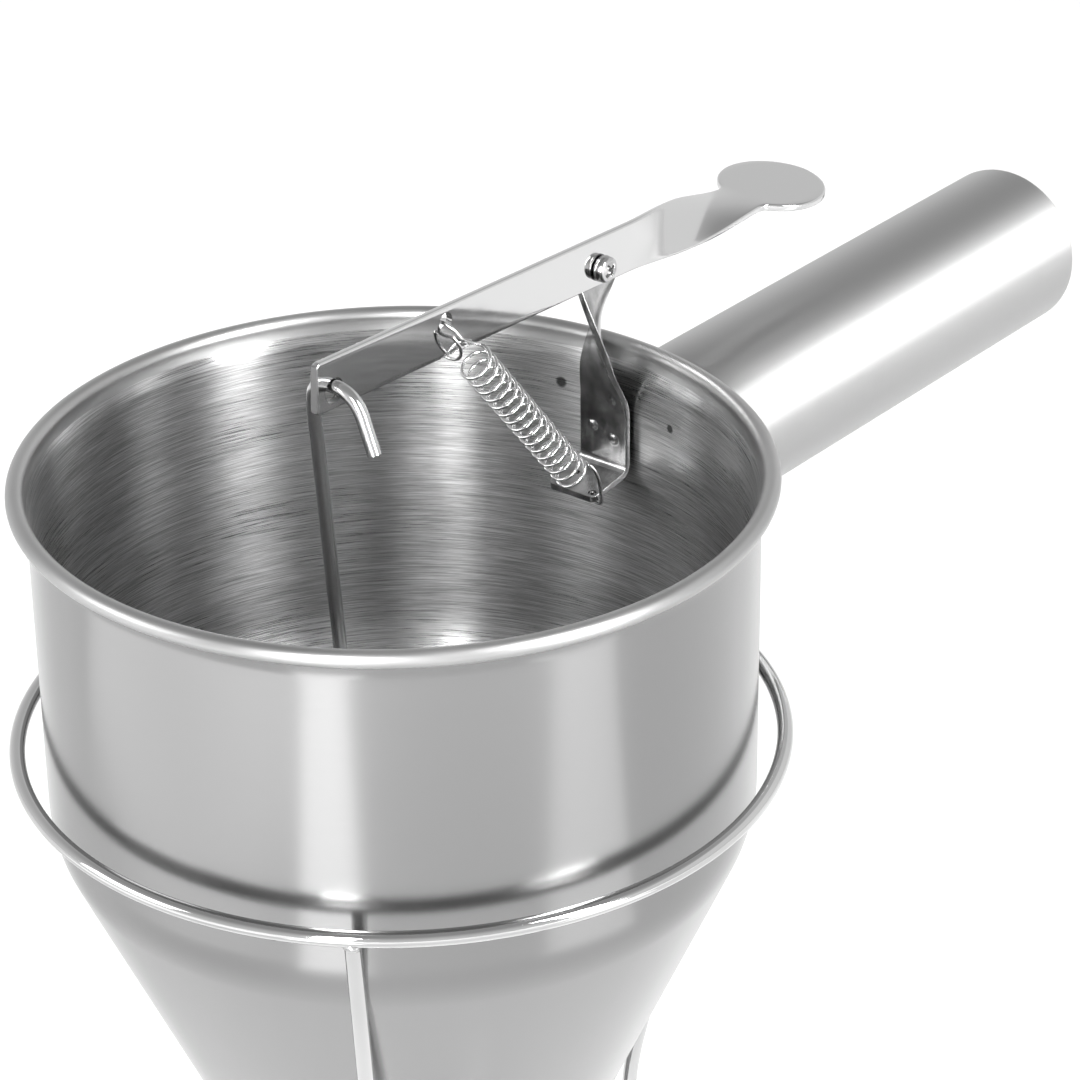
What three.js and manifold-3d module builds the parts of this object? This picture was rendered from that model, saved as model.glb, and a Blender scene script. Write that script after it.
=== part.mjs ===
// A hand-held sauce dispenser: a funnel with a thumb lever valve, resting in a wire stand.
// Millimetres, +Z up. The funnel's axis is upright and the handle points along +X.

import * as THREE from 'three';
import { mergeVertices } from 'three/addons/utils/BufferGeometryUtils.js';
import Module from 'manifold-3d';

const wasm = await Module();
wasm.setup();

const DEGREE = Math.PI / 180;
const QUARTER = Math.PI / 2;

// Gaps shared by all pieces
const seatGap = 0.3;
const tableGap = 10;
const cutOverrun = 3;

// Funnel sheet: a rolled cylinder with a curled rim, welded to a spun cone
const sheet = 0.8;
const bodyRadius = 75;
const cylinderHeight = 76.5;
const coneHalfAngle = 23.4 * DEGREE;
const shoulderRadius = 28;
const rimCurlRadius = 1.9;
const rimReach = 2;
const rimFlareHeight = 6;
const rimCurlEnd = -95 * DEGREE;

// Spout: a short tube that narrows to the nozzle, with the valve seat in its taper
const spoutRadius = 8;
const spoutWall = 0.8;
const spoutStraight = 6;
const spoutTaper = 5;
const nozzleRadius = 4.8;
const nozzleLength = 12;
const nozzleChamfer = 0.4;

// Handle: a straight tube with a welded end cap
const handleRadius = 19.75;
const handleWall = 1;
const handleDrop = 30.2;
const handleReach = 233;
const capThickness = 2.4;
const capRounding = 1.6;
const capSpigot = 3;

// Thumb lever: one strip on edge, twisted into a flat thumb disc
const leverWidth = 11.3;
const leverThickness = 1.6;
const leverInner = 90.7;
const leverSlope = 2.47 * DEGREE;
const leverRise = 1.5;
const pivotInset = 7.5;
const pivotRise = 21.8;
const twistStart = 10;
const twistLength = 44;
const leverTwist = 85 * DEGREE;
const neckDrop = 1.2;
const discCentre = 63.5;
const discRadius = 12.25;
const rodHoleInset = 5.2;
const rodHoleRise = -1.5;
const rodHoleRadius = 2.7;
const springHoleX = 51.3;
const springHoleRise = 2.3;
const springHoleRadius = 2;

// Pivot: a small pan head screw, a split spring washer and a hexagon nut
const screwRadius = 1.3;
const screwTail = 0.8;
const headRadius = 2.9;
const headHeight = 1.6;
const headRounding = 0.9;
const recessLength = 3.4;
const recessWidth = 0.9;
const recessDepth = 0.9;
const washerRadius = 2.9;
const washerThickness = 0.7;
const washerSplit = 12 * DEGREE;
const nutFlats = 5.5;
const nutHeight = 2;

// Bracket: a flat strip with a foot, spot welded to the wall and twisted up to the pivot
const bracketWidth = 12.8;
const bracketThickness = 1.5;
const footLength = 12.4;
const footDrop = 8.5 * DEGREE;
const footBelowRim = 28.3;
const footBend = 2.2;
const bracketLeaveBelowRim = 14;
const bracketStep = 2.6;
const bracketStepRise = 12;
const bracketTwistPower = 1.3;
const earBelow = 4.5;
const earTop = 5.2;
const earGap = 0.5;
const hookHoleInset = 1.6;
const hookHoleRadius = 0.9;
const spareHoleAlong = 6.2;
const spareHoleAcross = 3.1;
const spareHoleRadius = 0.8;

// Return spring: an open extension spring from the lever to the bracket's foot
const springWire = 0.8;
const coilRadius = 3.6;
const coilTurns = 16;
const coilPitch = 3.25;
const coilBottomGap = 9.2;
const coilAim = 2.5;
const loopRadius = 5;
const loopTilt = 22 * DEGREE;
const loopInset = 0.7;
const loopDrop = 0.3;
const loopBehind = 1.1;
const loopStart = 75 * DEGREE;
const loopFinish = -305 * DEGREE;
const loopStep = 1.4;
const topLinkReach = 1.5;
const hookRadius = 1.25;
const hookDrop = 0.4;
const hookTip = 1.4;
const springReach = 6;

// Valve rod: a wire hooked through the lever's end, with a ball plug at its foot
const rodRadius = 1.5;
const rodBehind = 5.6;
const rodBackBend = 5;
const rodBackDrop = 7.5;
const rodFrontBend = 5.5;
const rodFrontCorner = 6.2;
const rodHookLength = 13.2;
const rodHookLean = 21 * DEGREE;
const plugRadius = 5.4;
const plugCollarRadius = 2.9;
const plugCollarTop = 9;
const plugSocketDepth = 4;

// Stand: a top ring, three leaning legs and a base ring, all of one wire
const wireRadius = 1.7;
const ringClear = 5.8;
const ringBelowRim = 60;
const legWaistBelowRing = 112;
const legWaistBend = 16;
const baseRingRadius = 68;
const frontLegAngle = -146.3 * DEGREE;
const legCount = 3;

// How finely round forms are faceted
const bodySegments = 64;
const spoutSegments = 32;
const handleSegments = 40;
const smallSegments = 20;
const curlSteps = 9;
const flareSteps = 3;
const shoulderSteps = 4;
const bendSteps = 5;
const twistSteps = 9;
const wireSides = 10;
const rodSides = 8;
const springSides = 5;
const stepsPerCurl = 8;
const loopSteps = 22;
const linkSteps = 7;

// Heights above the table, and places that follow from the sizes
const spoutTop = tableGap + nozzleLength + spoutTaper + spoutStraight;
const coneSlope = Math.tan(coneHalfAngle);
const cornerZ = spoutTop + (bodyRadius - spoutRadius) / coneSlope;
const rimZ = cornerZ + cylinderHeight;
const shoulderRun = shoulderRadius * Math.tan(coneHalfAngle / 2);
const seamZ = cornerZ + shoulderRun;
const handleZ = rimZ - handleDrop;
const pivotX = bodyRadius - pivotInset;
const pivotZ = rimZ + pivotRise;
const ringZ = rimZ - ringBelowRim;
const standRingRadius = bodyRadius + ringClear;
const wireFlat = wireRadius * Math.cos(Math.PI / wireSides);
const baseRingZ = wireFlat;
const nozzleBore = nozzleRadius - spoutWall;
const spoutBore = spoutRadius - spoutWall;
const bracketSide = leverThickness / 2 + earGap + bracketThickness / 2;
const springAxisY = -(springReach - coilRadius);

// The legs lean in just enough to carry the funnel at its rounded shoulder
const shoulderOut = standRingRadius - (bodyRadius - shoulderRadius);
const shoulderDown = ringZ - seamZ;
const carryReach = shoulderRadius + seatGap + wireRadius;
const carryAngle = Math.acos(carryReach / Math.hypot(shoulderOut, shoulderDown));
const legAngle = carryAngle - Math.atan2(shoulderDown, shoulderOut);
const legLean = Math.tan(legAngle);

const steel = (grey, roughness) => new THREE.MeshStandardMaterial({
  color: new THREE.Color(grey, grey, grey),
  metalness: 1,
  roughness,
});
const satinSteel = steel(0.72, 0.35);
const polishedSteel = steel(0.8, 0.15);
const springSteel = steel(0.85, 0.2);

// Solids

// One closed skin: shared corners merged, triangles without area dropped, faces pointing out
function closed(geometry) {
  const bare = new THREE.BufferGeometry();
  bare.setAttribute('position', geometry.getAttribute('position').clone());
  if (geometry.index) bare.setIndex(geometry.index.clone());
  const merged = mergeVertices(bare, seatGap / 300);
  const old = merged.index.array;
  const kept = [];
  for (let i = 0; i < old.length; i += 3) {
    const [a, b, c] = [old[i], old[i + 1], old[i + 2]];
    if (a !== b && b !== c && c !== a) kept.push(a, b, c);
  }
  const place = merged.getAttribute('position');
  const corner = (i) => new THREE.Vector3().fromBufferAttribute(place, i);
  let volume = 0;
  for (let i = 0; i < kept.length; i += 3) {
    volume += corner(kept[i]).dot(corner(kept[i + 1]).cross(corner(kept[i + 2])));
  }
  if (volume < 0) kept.reverse();
  merged.setIndex(kept);
  return merged;
}

function toSolid(geometry) {
  const skin = closed(geometry);
  return new wasm.Manifold(new wasm.Mesh({
    numProp: 3,
    vertProperties: new Float32Array(skin.getAttribute('position').array),
    triVerts: new Uint32Array(skin.index.array),
  }));
}

function fromSolid(solid) {
  const mesh = solid.getMesh();
  const geometry = new THREE.BufferGeometry();
  geometry.setAttribute('position', new THREE.BufferAttribute(mesh.vertProperties, mesh.numProp));
  geometry.setIndex(new THREE.BufferAttribute(mesh.triVerts, 1));
  return geometry;
}

// Points of an arc about (x, y), from one angle to another
function arc(x, y, radius, from, to, steps) {
  const points = [];
  for (let i = 0; i <= steps; i += 1) {
    const angle = from + (to - from) * i / steps;
    points.push(new THREE.Vector2(x + radius * Math.cos(angle), y + radius * Math.sin(angle)));
  }
  return points;
}

// A closed outline round a sheet's middle line, half the thickness to each side
function sheetOutline(middle, thickness) {
  const side = (sign) => middle.map((point, i) => {
    const before = middle[Math.max(i - 1, 0)];
    const after = middle[Math.min(i + 1, middle.length - 1)];
    const along = after.clone().sub(before).normalize();
    return new THREE.Vector2(-along.y, along.x).multiplyScalar(sign * thickness / 2).add(point);
  });
  const outline = [...side(1), ...side(-1).reverse()];
  return [...outline, outline[0].clone()];
}

// A profile of radius and height turned about the upright axis
function turned(profile, segments) {
  return new THREE.LatheGeometry(profile, segments).rotateX(QUARTER);
}

// A path whose steps fall on given points, so that bends are fine and straights are plain
class WirePath extends THREE.Curve {
  constructor(points) {
    super();
    this.points = points;
  }

  getPoint(t, target = new THREE.Vector3()) {
    const place = t * (this.points.length - 1);
    const first = Math.min(Math.floor(place), this.points.length - 2);
    return target.lerpVectors(this.points[first], this.points[first + 1], place - first);
  }

  getPointAt(u, target) {
    return this.getPoint(u, target);
  }

  getTangentAt(u) {
    const last = this.points.length - 1;
    const here = Math.round(u * last);
    const after = this.points[Math.min(here + 1, last)];
    return after.clone().sub(this.points[Math.max(here - 1, 0)]).normalize();
  }
}

// A round wire through points
function wire(points, radius, sides) {
  const section = new THREE.Shape();
  for (let i = 0; i < sides; i += 1) {
    const angle = 2 * Math.PI * (i + 0.5) / sides;
    const [x, y] = [radius * Math.cos(angle), radius * Math.sin(angle)];
    if (i === 0) section.moveTo(x, y);
    else section.lineTo(x, y);
  }
  section.closePath();
  return new THREE.ExtrudeGeometry(section, {
    steps: points.length - 1,
    bevelEnabled: false,
    extrudePath: new WirePath(points),
  });
}

// A wire ring with a flat facet below and above
function wireRing(radius, z) {
  const half = Math.PI / wireSides;
  const section = arc(radius, z, wireRadius, half - QUARTER, half - QUARTER + 2 * Math.PI, wireSides);
  return turned(section, bodySegments);
}

// Points of a bend from one straight into the next, round their corner
function bend(from, corner, to, steps) {
  return new THREE.QuadraticBezierCurve3(from, corner, to).getPoints(steps);
}

// A flat strip through stations, each with its middle, its directions and its half width
function strip(stations, thickness) {
  const steps = stations.length - 1;
  const box = new THREE.BoxGeometry(1, 1, 1, steps, 1, 1);
  const place = box.getAttribute('position');
  for (let i = 0; i < place.count; i += 1) {
    const station = stations[Math.round((place.getX(i) + 0.5) * steps)];
    const point = station.middle.clone();
    point.addScaledVector(station.across, 2 * place.getZ(i) * station.half);
    point.addScaledVector(station.through, place.getY(i) * thickness);
    place.setXYZ(i, point.x, point.y, point.z);
  }
  return box;
}

// A round cutter along Y, as long as a strip is thick and an overrun at both ends
function drill(x, y, z, radius, depth) {
  const cutter = new THREE.CylinderGeometry(radius, radius, depth + 2 * cutOverrun, smallSegments);
  return toSolid(cutter.translate(x, y, z));
}

// A smooth rise from 0 to 1
const ease = (t) => THREE.MathUtils.smoothstep(t, 0, 1);

// Funnel

// The wall rises, flares a little and curls outwards over itself into the rolled rim
function funnelCylinder() {
  const wall = bodyRadius - sheet / 2;
  const curl = rimCurlRadius - sheet / 2;
  const curlCentre = bodyRadius + rimReach;
  const middle = [new THREE.Vector2(wall, seamZ)];
  for (let i = 0; i < flareSteps; i += 1) {
    const share = i / flareSteps;
    const radius = wall + (curlCentre - curl - wall) * ease(share);
    middle.push(new THREE.Vector2(radius, rimZ - rimFlareHeight * (1 - share)));
  }
  middle.push(...arc(curlCentre, rimZ, curl, Math.PI, rimCurlEnd, curlSteps));
  return turned(sheetOutline(middle, sheet), bodySegments);
}

// The cone starts with the rounded shoulder and ends at the spout
function funnelCone() {
  const centre = bodyRadius - shoulderRadius;
  const inner = shoulderRadius - sheet;
  const outside = arc(centre, seamZ, shoulderRadius, 0, -coneHalfAngle, shoulderSteps);
  const inside = arc(centre, seamZ, inner, -coneHalfAngle, 0, shoulderSteps);
  const mouth = spoutRadius - sheet / Math.cos(coneHalfAngle);
  const profile = [
    ...outside,
    new THREE.Vector2(spoutRadius, spoutTop),
    new THREE.Vector2(mouth, spoutTop),
    ...inside,
    outside[0].clone(),
  ];
  return turned(profile, bodySegments);
}

function spoutTube() {
  const taperTop = spoutTop - spoutStraight;
  const taperBottom = taperTop - spoutTaper;
  const profile = [
    new THREE.Vector2(nozzleBore, tableGap),
    new THREE.Vector2(nozzleRadius - nozzleChamfer, tableGap),
    new THREE.Vector2(nozzleRadius, tableGap + nozzleChamfer),
    new THREE.Vector2(nozzleRadius, taperBottom),
    new THREE.Vector2(spoutRadius, taperTop),
    new THREE.Vector2(spoutRadius, spoutTop),
    new THREE.Vector2(spoutBore, spoutTop),
    new THREE.Vector2(spoutBore, taperTop),
    new THREE.Vector2(nozzleBore, taperBottom),
    new THREE.Vector2(nozzleBore, tableGap),
  ];
  return turned(profile, spoutSegments);
}

// The handle's tube is cut to the round wall that it is welded to
function handleTube() {
  const section = new THREE.Shape();
  section.absarc(0, 0, handleRadius, 0, 2 * Math.PI);
  const bore = new THREE.Path();
  bore.absarc(0, 0, handleRadius - handleWall, 0, 2 * Math.PI);
  section.holes.push(bore);
  const start = bodyRadius - handleRadius;
  const tube = new THREE.ExtrudeGeometry(section, {
    depth: handleReach - capThickness - start,
    bevelEnabled: false,
    curveSegments: handleSegments,
  });
  tube.rotateY(QUARTER).translate(start, 0, handleZ);
  const wallRadius = bodyRadius + seatGap;
  const wall = new THREE.CylinderGeometry(wallRadius, wallRadius, 4 * handleRadius, bodySegments);
  wall.rotateX(QUARTER).translate(0, 0, handleZ);
  return fromSolid(toSolid(tube).subtract(toSolid(wall)));
}

// The end cap has a rounded edge and a spigot inside the tube
function handleEndCap() {
  const spigot = handleRadius - handleWall - seatGap;
  const edge = handleRadius - capRounding;
  const profile = [
    new THREE.Vector2(0, -capSpigot),
    new THREE.Vector2(spigot, -capSpigot),
    new THREE.Vector2(spigot, 0),
    new THREE.Vector2(handleRadius, 0),
    ...arc(edge, capThickness - capRounding, capRounding, 0, QUARTER, bendSteps),
    new THREE.Vector2(0, capThickness),
  ];
  const cap = new THREE.LatheGeometry(profile, handleSegments);
  return cap.rotateZ(-QUARTER).translate(handleReach - capThickness, 0, handleZ);
}

// Pivot and bracket

// Where the strip's middle line stands on the round wall, clear of it at its far edge
const bracketReach = bracketSide + bracketWidth / 2;
const wallInside = (bodyRadius - sheet) * Math.cos(Math.PI / bodySegments) - seatGap;
const bracketX = Math.sqrt(wallInside ** 2 - bracketReach ** 2) - bracketThickness / 2;
const footZ = rimZ - footBelowRim;
const footTip = new THREE.Vector3(
  bracketX - footLength * Math.cos(footDrop),
  bracketSide,
  footZ - footLength * Math.sin(footDrop),
);

// A place on the foot, so far from its tip and so far across, at its upper face
function onFoot(along, across) {
  return new THREE.Vector3(
    footTip.x + along * Math.cos(footDrop),
    bracketSide + across,
    footTip.z + along * Math.sin(footDrop),
  );
}
const hookHole = onFoot(hookHoleInset, hookHoleInset - bracketWidth / 2);

// The strip leaves the wall with a small step inwards, to clear the flare, and turns a quarter
// about its own middle line on its way up to the pivot
function pivotBracket() {
  const y = bracketSide;
  const across = new THREE.Vector3(0, 1, 0);
  const corner = new THREE.Vector3(bracketX, y, footZ);
  const tangentRun = footBend * Math.tan((QUARTER + footDrop) / 2);
  const bendIn = onFoot(footLength - tangentRun, 0);
  const bendOut = new THREE.Vector3(bracketX, y, footZ + tangentRun);
  const leaveZ = rimZ - bracketLeaveBelowRim;
  const half = bracketWidth / 2;
  const stations = [];
  const flat = (middle, along) => {
    const through = new THREE.Vector3().crossVectors(across, along).normalize();
    stations.push({ middle, across, through, half });
  };
  flat(footTip, bendIn.clone().sub(footTip));
  const round = bend(bendIn, corner, bendOut, bendSteps);
  round.forEach((middle, i) => {
    const before = round[Math.max(i - 1, 0)];
    const after = round[Math.min(i + 1, bendSteps)];
    flat(middle, after.clone().sub(before));
  });
  const twistRise = pivotZ - earBelow - leaveZ;
  for (let i = 0; i <= twistSteps; i += 1) {
    const share = i / twistSteps;
    const angle = QUARTER * share ** bracketTwistPower;
    const inwards = bracketStep * ease(share * twistRise / bracketStepRise);
    stations.push({
      middle: new THREE.Vector3(bracketX - inwards, y, leaveZ + share * twistRise),
      across: new THREE.Vector3(Math.sin(angle), Math.cos(angle), 0),
      through: new THREE.Vector3(Math.cos(angle), -Math.sin(angle), 0),
      half,
    });
  }
  for (let i = 0; i <= bendSteps; i += 1) {
    const past = earTop * i / bendSteps;
    stations.push({
      middle: new THREE.Vector3(bracketX - bracketStep, y, pivotZ + past),
      across: new THREE.Vector3(1, 0, 0),
      through: new THREE.Vector3(0, -1, 0),
      half: Math.sqrt(half ** 2 - past ** 2),
    });
  }
  const holeRadius = screwRadius + seatGap;
  let solid = toSolid(strip(stations, bracketThickness));
  solid = solid.subtract(drill(pivotX, y, pivotZ, holeRadius, bracketThickness));
  const spare = onFoot(spareHoleAlong, spareHoleAcross);
  [[hookHole, hookHoleRadius], [spare, spareHoleRadius]].forEach(([place, radius]) => {
    const depth = bracketThickness + 2 * cutOverrun;
    const cutter = new THREE.CylinderGeometry(radius, radius, depth, smallSegments / 2);
    cutter.rotateX(QUARTER).rotateY(-footDrop).translate(place.x, place.y, place.z);
    solid = solid.subtract(toSolid(cutter));
  });
  return fromSolid(solid);
}

// Places along the pivot's axis, from the head on the near side to the nut on the far side
const washerY = -leverThickness / 2 - seatGap;
const headY = washerY - washerThickness;
const nutY = bracketSide + bracketThickness / 2 + seatGap;
const screwEndY = nutY + nutHeight + screwTail;

// A pan head screw, turned about Y, with a crossed recess in its head
function pivotScrew() {
  const headTop = headY - headHeight;
  const dome = arc(headRadius - headRounding, headTop + headRounding, headRounding, -QUARTER, 0, bendSteps);
  const profile = [
    new THREE.Vector2(0, headTop),
    ...dome,
    new THREE.Vector2(headRadius, headY),
    new THREE.Vector2(screwRadius, headY),
    new THREE.Vector2(screwRadius, screwEndY),
    new THREE.Vector2(0, screwEndY),
  ];
  let solid = toSolid(new THREE.LatheGeometry(profile, smallSegments));
  const depth = 2 * recessDepth;
  [[recessLength, recessWidth], [recessWidth, recessLength]].forEach(([x, z]) => {
    const slot = new THREE.BoxGeometry(x, depth, z).rotateY(Math.PI / 5).translate(0, headTop, 0);
    solid = solid.subtract(toSolid(slot));
  });
  return fromSolid(solid).translate(pivotX, 0, pivotZ);
}

function springWasher() {
  const section = new THREE.Shape();
  const [from, to] = [washerSplit / 2, 2 * Math.PI - washerSplit / 2];
  section.absarc(0, 0, washerRadius, from, to, false);
  section.absarc(0, 0, screwRadius + seatGap, to, from, true);
  const washer = new THREE.ExtrudeGeometry(section, {
    depth: washerThickness,
    bevelEnabled: false,
    curveSegments: smallSegments,
  });
  return washer.rotateX(QUARTER).translate(pivotX, washerY, pivotZ);
}

function pivotNut() {
  const section = new THREE.Shape();
  const cornerRadius = nutFlats / 2 / Math.cos(Math.PI / 6);
  for (let i = 0; i < 6; i += 1) {
    const angle = Math.PI / 3 * i;
    const [x, y] = [cornerRadius * Math.cos(angle), cornerRadius * Math.sin(angle)];
    if (i === 0) section.moveTo(x, y);
    else section.lineTo(x, y);
  }
  section.closePath();
  const bore = new THREE.Path();
  bore.absarc(0, 0, screwRadius + seatGap, 0, 2 * Math.PI);
  section.holes.push(bore);
  const nut = new THREE.ExtrudeGeometry(section, {
    depth: nutHeight,
    bevelEnabled: false,
    curveSegments: smallSegments / 2,
  });
  return nut.rotateX(QUARTER).translate(pivotX, nutY + nutHeight, pivotZ);
}

// Lever

// A place on the lever: along the strip from the pivot, and above its middle line
function onLever(along, above) {
  const up = leverRise + above;
  return new THREE.Vector3(
    pivotX + along * Math.cos(leverSlope) + up * Math.sin(leverSlope),
    0,
    pivotZ - along * Math.sin(leverSlope) + up * Math.cos(leverSlope),
  );
}
const rodPinRise = rodHoleRise + rodHoleRadius - rodRadius - seatGap;
const rodPin = onLever(rodHoleInset - leverInner, rodPinRise);
const springPin = onLever(-springHoleX, springHoleRise);

// The strip stands on edge, then turns flat and ends in the round thumb disc
function thumbLever() {
  const neckEnd = discCentre - discRadius / 2;
  const twistEnd = twistStart + twistLength;
  const places = [-leverInner];
  for (let i = 0; i <= twistSteps; i += 1) places.push(twistStart + twistLength * i / twistSteps);
  places.push(neckEnd);
  const stations = places.map((x) => {
    const share = ease((x - twistStart) / twistLength);
    const angle = leverTwist * share;
    return {
      middle: new THREE.Vector3(x, 0, leverRise - neckDrop * share),
      across: new THREE.Vector3(0, Math.sin(angle), Math.cos(angle)),
      through: new THREE.Vector3(0, Math.cos(angle), -Math.sin(angle)),
      half: leverWidth / 2 + Math.max(x - twistEnd, 0) / 2,
    };
  });
  const disc = new THREE.CylinderGeometry(discRadius, discRadius, leverThickness, handleSegments);
  disc.rotateX(QUARTER + QUARTER - leverTwist).rotateY(-leverSlope).translate(discCentre, 0, leverRise - neckDrop);
  let solid = toSolid(strip(stations, leverThickness)).add(toSolid(disc));
  const holes = [
    [0, 0, screwRadius + seatGap],
    [rodHoleInset - leverInner, leverRise + rodHoleRise, rodHoleRadius],
    [-springHoleX, leverRise + springHoleRise, springHoleRadius],
  ];
  holes.forEach(([x, z, radius]) => {
    solid = solid.subtract(drill(x, 0, z, radius, leverThickness));
  });
  return fromSolid(solid).rotateY(leverSlope).translate(pivotX, 0, pivotZ);
}

// Valve

// The ball rests on the inside of the spout's taper, a seat gap clear of it
const seatSlope = Math.atan((spoutBore - nozzleBore) / spoutTaper);
const seatRise = (plugRadius + seatGap - nozzleBore * Math.cos(seatSlope)) / Math.sin(seatSlope);
const plugCentre = new THREE.Vector3(0, 0, tableGap + nozzleLength + seatRise);
const rodBackCorner = new THREE.Vector3(rodPin.x, rodBehind, rodPin.z);
const rodUp = rodBackCorner.clone().sub(plugCentre).normalize();

// The rod's foot stands in the plug, its top bends through the lever and hooks down
function valveRod() {
  const foot = plugCentre.clone().addScaledVector(rodUp, plugCollarTop - plugSocketDepth + seatGap);
  const near = new THREE.Vector3(0, -1, 0);
  const down = new THREE.Vector3(0, -Math.sin(rodHookLean), -Math.cos(rodHookLean));
  const frontCorner = new THREE.Vector3(rodPin.x, -rodFrontCorner, rodPin.z);
  const back = bend(
    rodBackCorner.clone().addScaledVector(rodUp, -rodBackDrop),
    rodBackCorner,
    rodBackCorner.clone().addScaledVector(near, rodBackBend),
    bendSteps,
  );
  const front = bend(
    frontCorner.clone().addScaledVector(near, -rodFrontBend),
    frontCorner,
    frontCorner.clone().addScaledVector(down, rodFrontBend),
    bendSteps,
  );
  const tip = frontCorner.clone().addScaledVector(down, rodHookLength);
  return wire([foot, ...back, ...front, tip], rodRadius, rodSides);
}

// A ball with a collar on top, bored to take the rod
function valvePlug() {
  const collarFoot = Math.acos(plugCollarRadius / plugRadius);
  const bore = rodRadius + seatGap;
  const floor = plugCollarTop - plugSocketDepth;
  const ball = arc(0, 0, plugRadius, -QUARTER, collarFoot, 2 * bendSteps);
  ball[0].x = 0;
  const profile = [
    ...ball,
    new THREE.Vector2(plugCollarRadius, plugCollarTop),
    new THREE.Vector2(bore, plugCollarTop),
    new THREE.Vector2(bore, floor),
    new THREE.Vector2(0, floor),
  ];
  const plug = new THREE.LatheGeometry(profile, smallSegments);
  const upright = new THREE.Quaternion().setFromUnitVectors(new THREE.Vector3(0, 1, 0), rodUp);
  return plug.applyQuaternion(upright).translate(plugCentre.x, plugCentre.y, plugCentre.z);
}

// Return spring

// A smooth link between two points with their directions, without its end points
function link(from, fromAlong, to, toAlong, reach) {
  const curve = new THREE.CubicBezierCurve3(
    from,
    from.clone().addScaledVector(fromAlong, reach),
    to.clone().addScaledVector(toAlong, -reach),
    to,
  );
  return curve.getPoints(linkSteps).slice(1, -1);
}

// One unbroken wire: a round loop through the lever, the curls, and a hook through the foot
function springPath() {
  const near = new THREE.Vector3(0, -1, 0);
  const axisTop = new THREE.Vector3(springPin.x, springAxisY, springPin.z - coilAim);
  const axisFoot = new THREE.Vector3(hookHole.x, springAxisY, hookHole.z);
  const along = axisFoot.clone().sub(axisTop).normalize();
  const above = new THREE.Vector3(-along.z, 0, along.x);
  const coilLength = coilTurns * coilPitch;
  const coilStart = axisFoot.distanceTo(axisTop) - coilBottomGap - coilLength;

  const down = new THREE.Vector3(Math.sin(loopTilt), 0, -Math.cos(loopTilt));
  const aside = new THREE.Vector3().crossVectors(down, near);
  const loopTop = springPin.clone().add(new THREE.Vector3(-loopInset, loopBehind, -loopDrop));
  const loopCentre = loopTop.clone().addScaledVector(down, loopRadius);
  const loop = [];
  for (let i = loopSteps; i >= 0; i -= 1) {
    const share = i / loopSteps;
    const angle = loopStart + (loopFinish - loopStart) * share;
    const point = loopCentre.clone().addScaledVector(down, -loopRadius * Math.cos(angle));
    point.addScaledVector(near, loopRadius * Math.sin(angle));
    loop.push(point.addScaledVector(aside, loopStep * (share - 0.5)));
  }

  const curls = [];
  for (let i = 0; i <= coilTurns * stepsPerCurl; i += 1) {
    const angle = 2 * Math.PI * i / stepsPerCurl;
    const point = axisTop.clone().addScaledVector(along, coilStart + coilPitch * i / stepsPerCurl);
    point.addScaledVector(above, coilRadius * Math.cos(angle));
    curls.push(point.addScaledVector(near, coilRadius * Math.sin(angle)));
  }

  const plateUp = new THREE.Vector3(-Math.sin(footDrop), 0, Math.cos(footDrop));
  const hookCentre = hookHole.clone().addScaledVector(near, hookRadius);
  hookCentre.addScaledVector(plateUp, -hookDrop);
  const hook = [];
  for (let i = 0; i <= bendSteps; i += 1) {
    const angle = Math.PI * i / bendSteps;
    const point = hookCentre.clone().addScaledVector(near, hookRadius * Math.cos(angle));
    hook.push(point.addScaledVector(plateUp, -hookRadius * Math.sin(angle)));
  }
  const hookEnd = hook[bendSteps].clone().addScaledVector(plateUp, hookTip);

  const leave = (points, i, j) => points[j].clone().sub(points[i]).normalize();
  const last = curls.length - 1;
  const loopEnd = loop[loopSteps];
  const topLink = link(loopEnd, leave(loop, loopSteps - 1, loopSteps), curls[0], near, topLinkReach);
  const footLink = link(curls[last], near, hook[0], plateUp.clone().negate(), coilBottomGap / 2);
  return [...loop, ...topLink, ...curls, ...footLink, ...hook, hookEnd];
}

// The least distance between stretches of the wire that are more than a few steps apart
function leastGap(points, wireSize) {
  let least = Infinity;
  const apart = stepsPerCurl / 2;
  for (let i = 0; i < points.length - 1; i += 1) {
    for (let j = i + apart; j < points.length; j += 1) {
      const reach = new THREE.Line3(points[i], points[i + 1]);
      const nearest = reach.closestPointToPoint(points[j], true, new THREE.Vector3());
      least = Math.min(least, nearest.distanceTo(points[j]));
    }
  }
  return least - wireSize;
}

function returnSpring() {
  const points = springPath();
  console.log(`return spring: least gap to itself ${leastGap(points, springWire).toFixed(2)} mm`);
  return wire(points, springWire / 2, springSides);
}

// Stand

// A leg leans in from the top ring to its waist and out again to the base ring
function standLeg(angle) {
  const out = new THREE.Vector3(Math.cos(angle), Math.sin(angle), 0);
  const at = (radius, z) => out.clone().multiplyScalar(radius).setZ(z);
  const end = wireFlat + seatGap;
  const top = at(standRingRadius - legLean * end, ringZ - end);
  const waist = at(standRingRadius - legLean * legWaistBelowRing, ringZ - legWaistBelowRing);
  const foot = at(baseRingRadius, baseRingZ + end);
  const up = top.clone().sub(waist).normalize();
  const down = foot.clone().sub(waist).normalize();
  const turn = bend(
    waist.clone().addScaledVector(up, legWaistBend),
    waist,
    waist.clone().addScaledVector(down, legWaistBend),
    bendSteps,
  );
  return wire([top, ...turn, foot], wireRadius, wireSides);
}

// Assembly

const assembly = new THREE.Group();
assembly.position.x = (standRingRadius + wireRadius - handleReach) / 2;

function add(name, geometry, material) {
  const mesh = new THREE.Mesh(closed(geometry), material);
  mesh.name = name;
  assembly.add(mesh);
}

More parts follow.
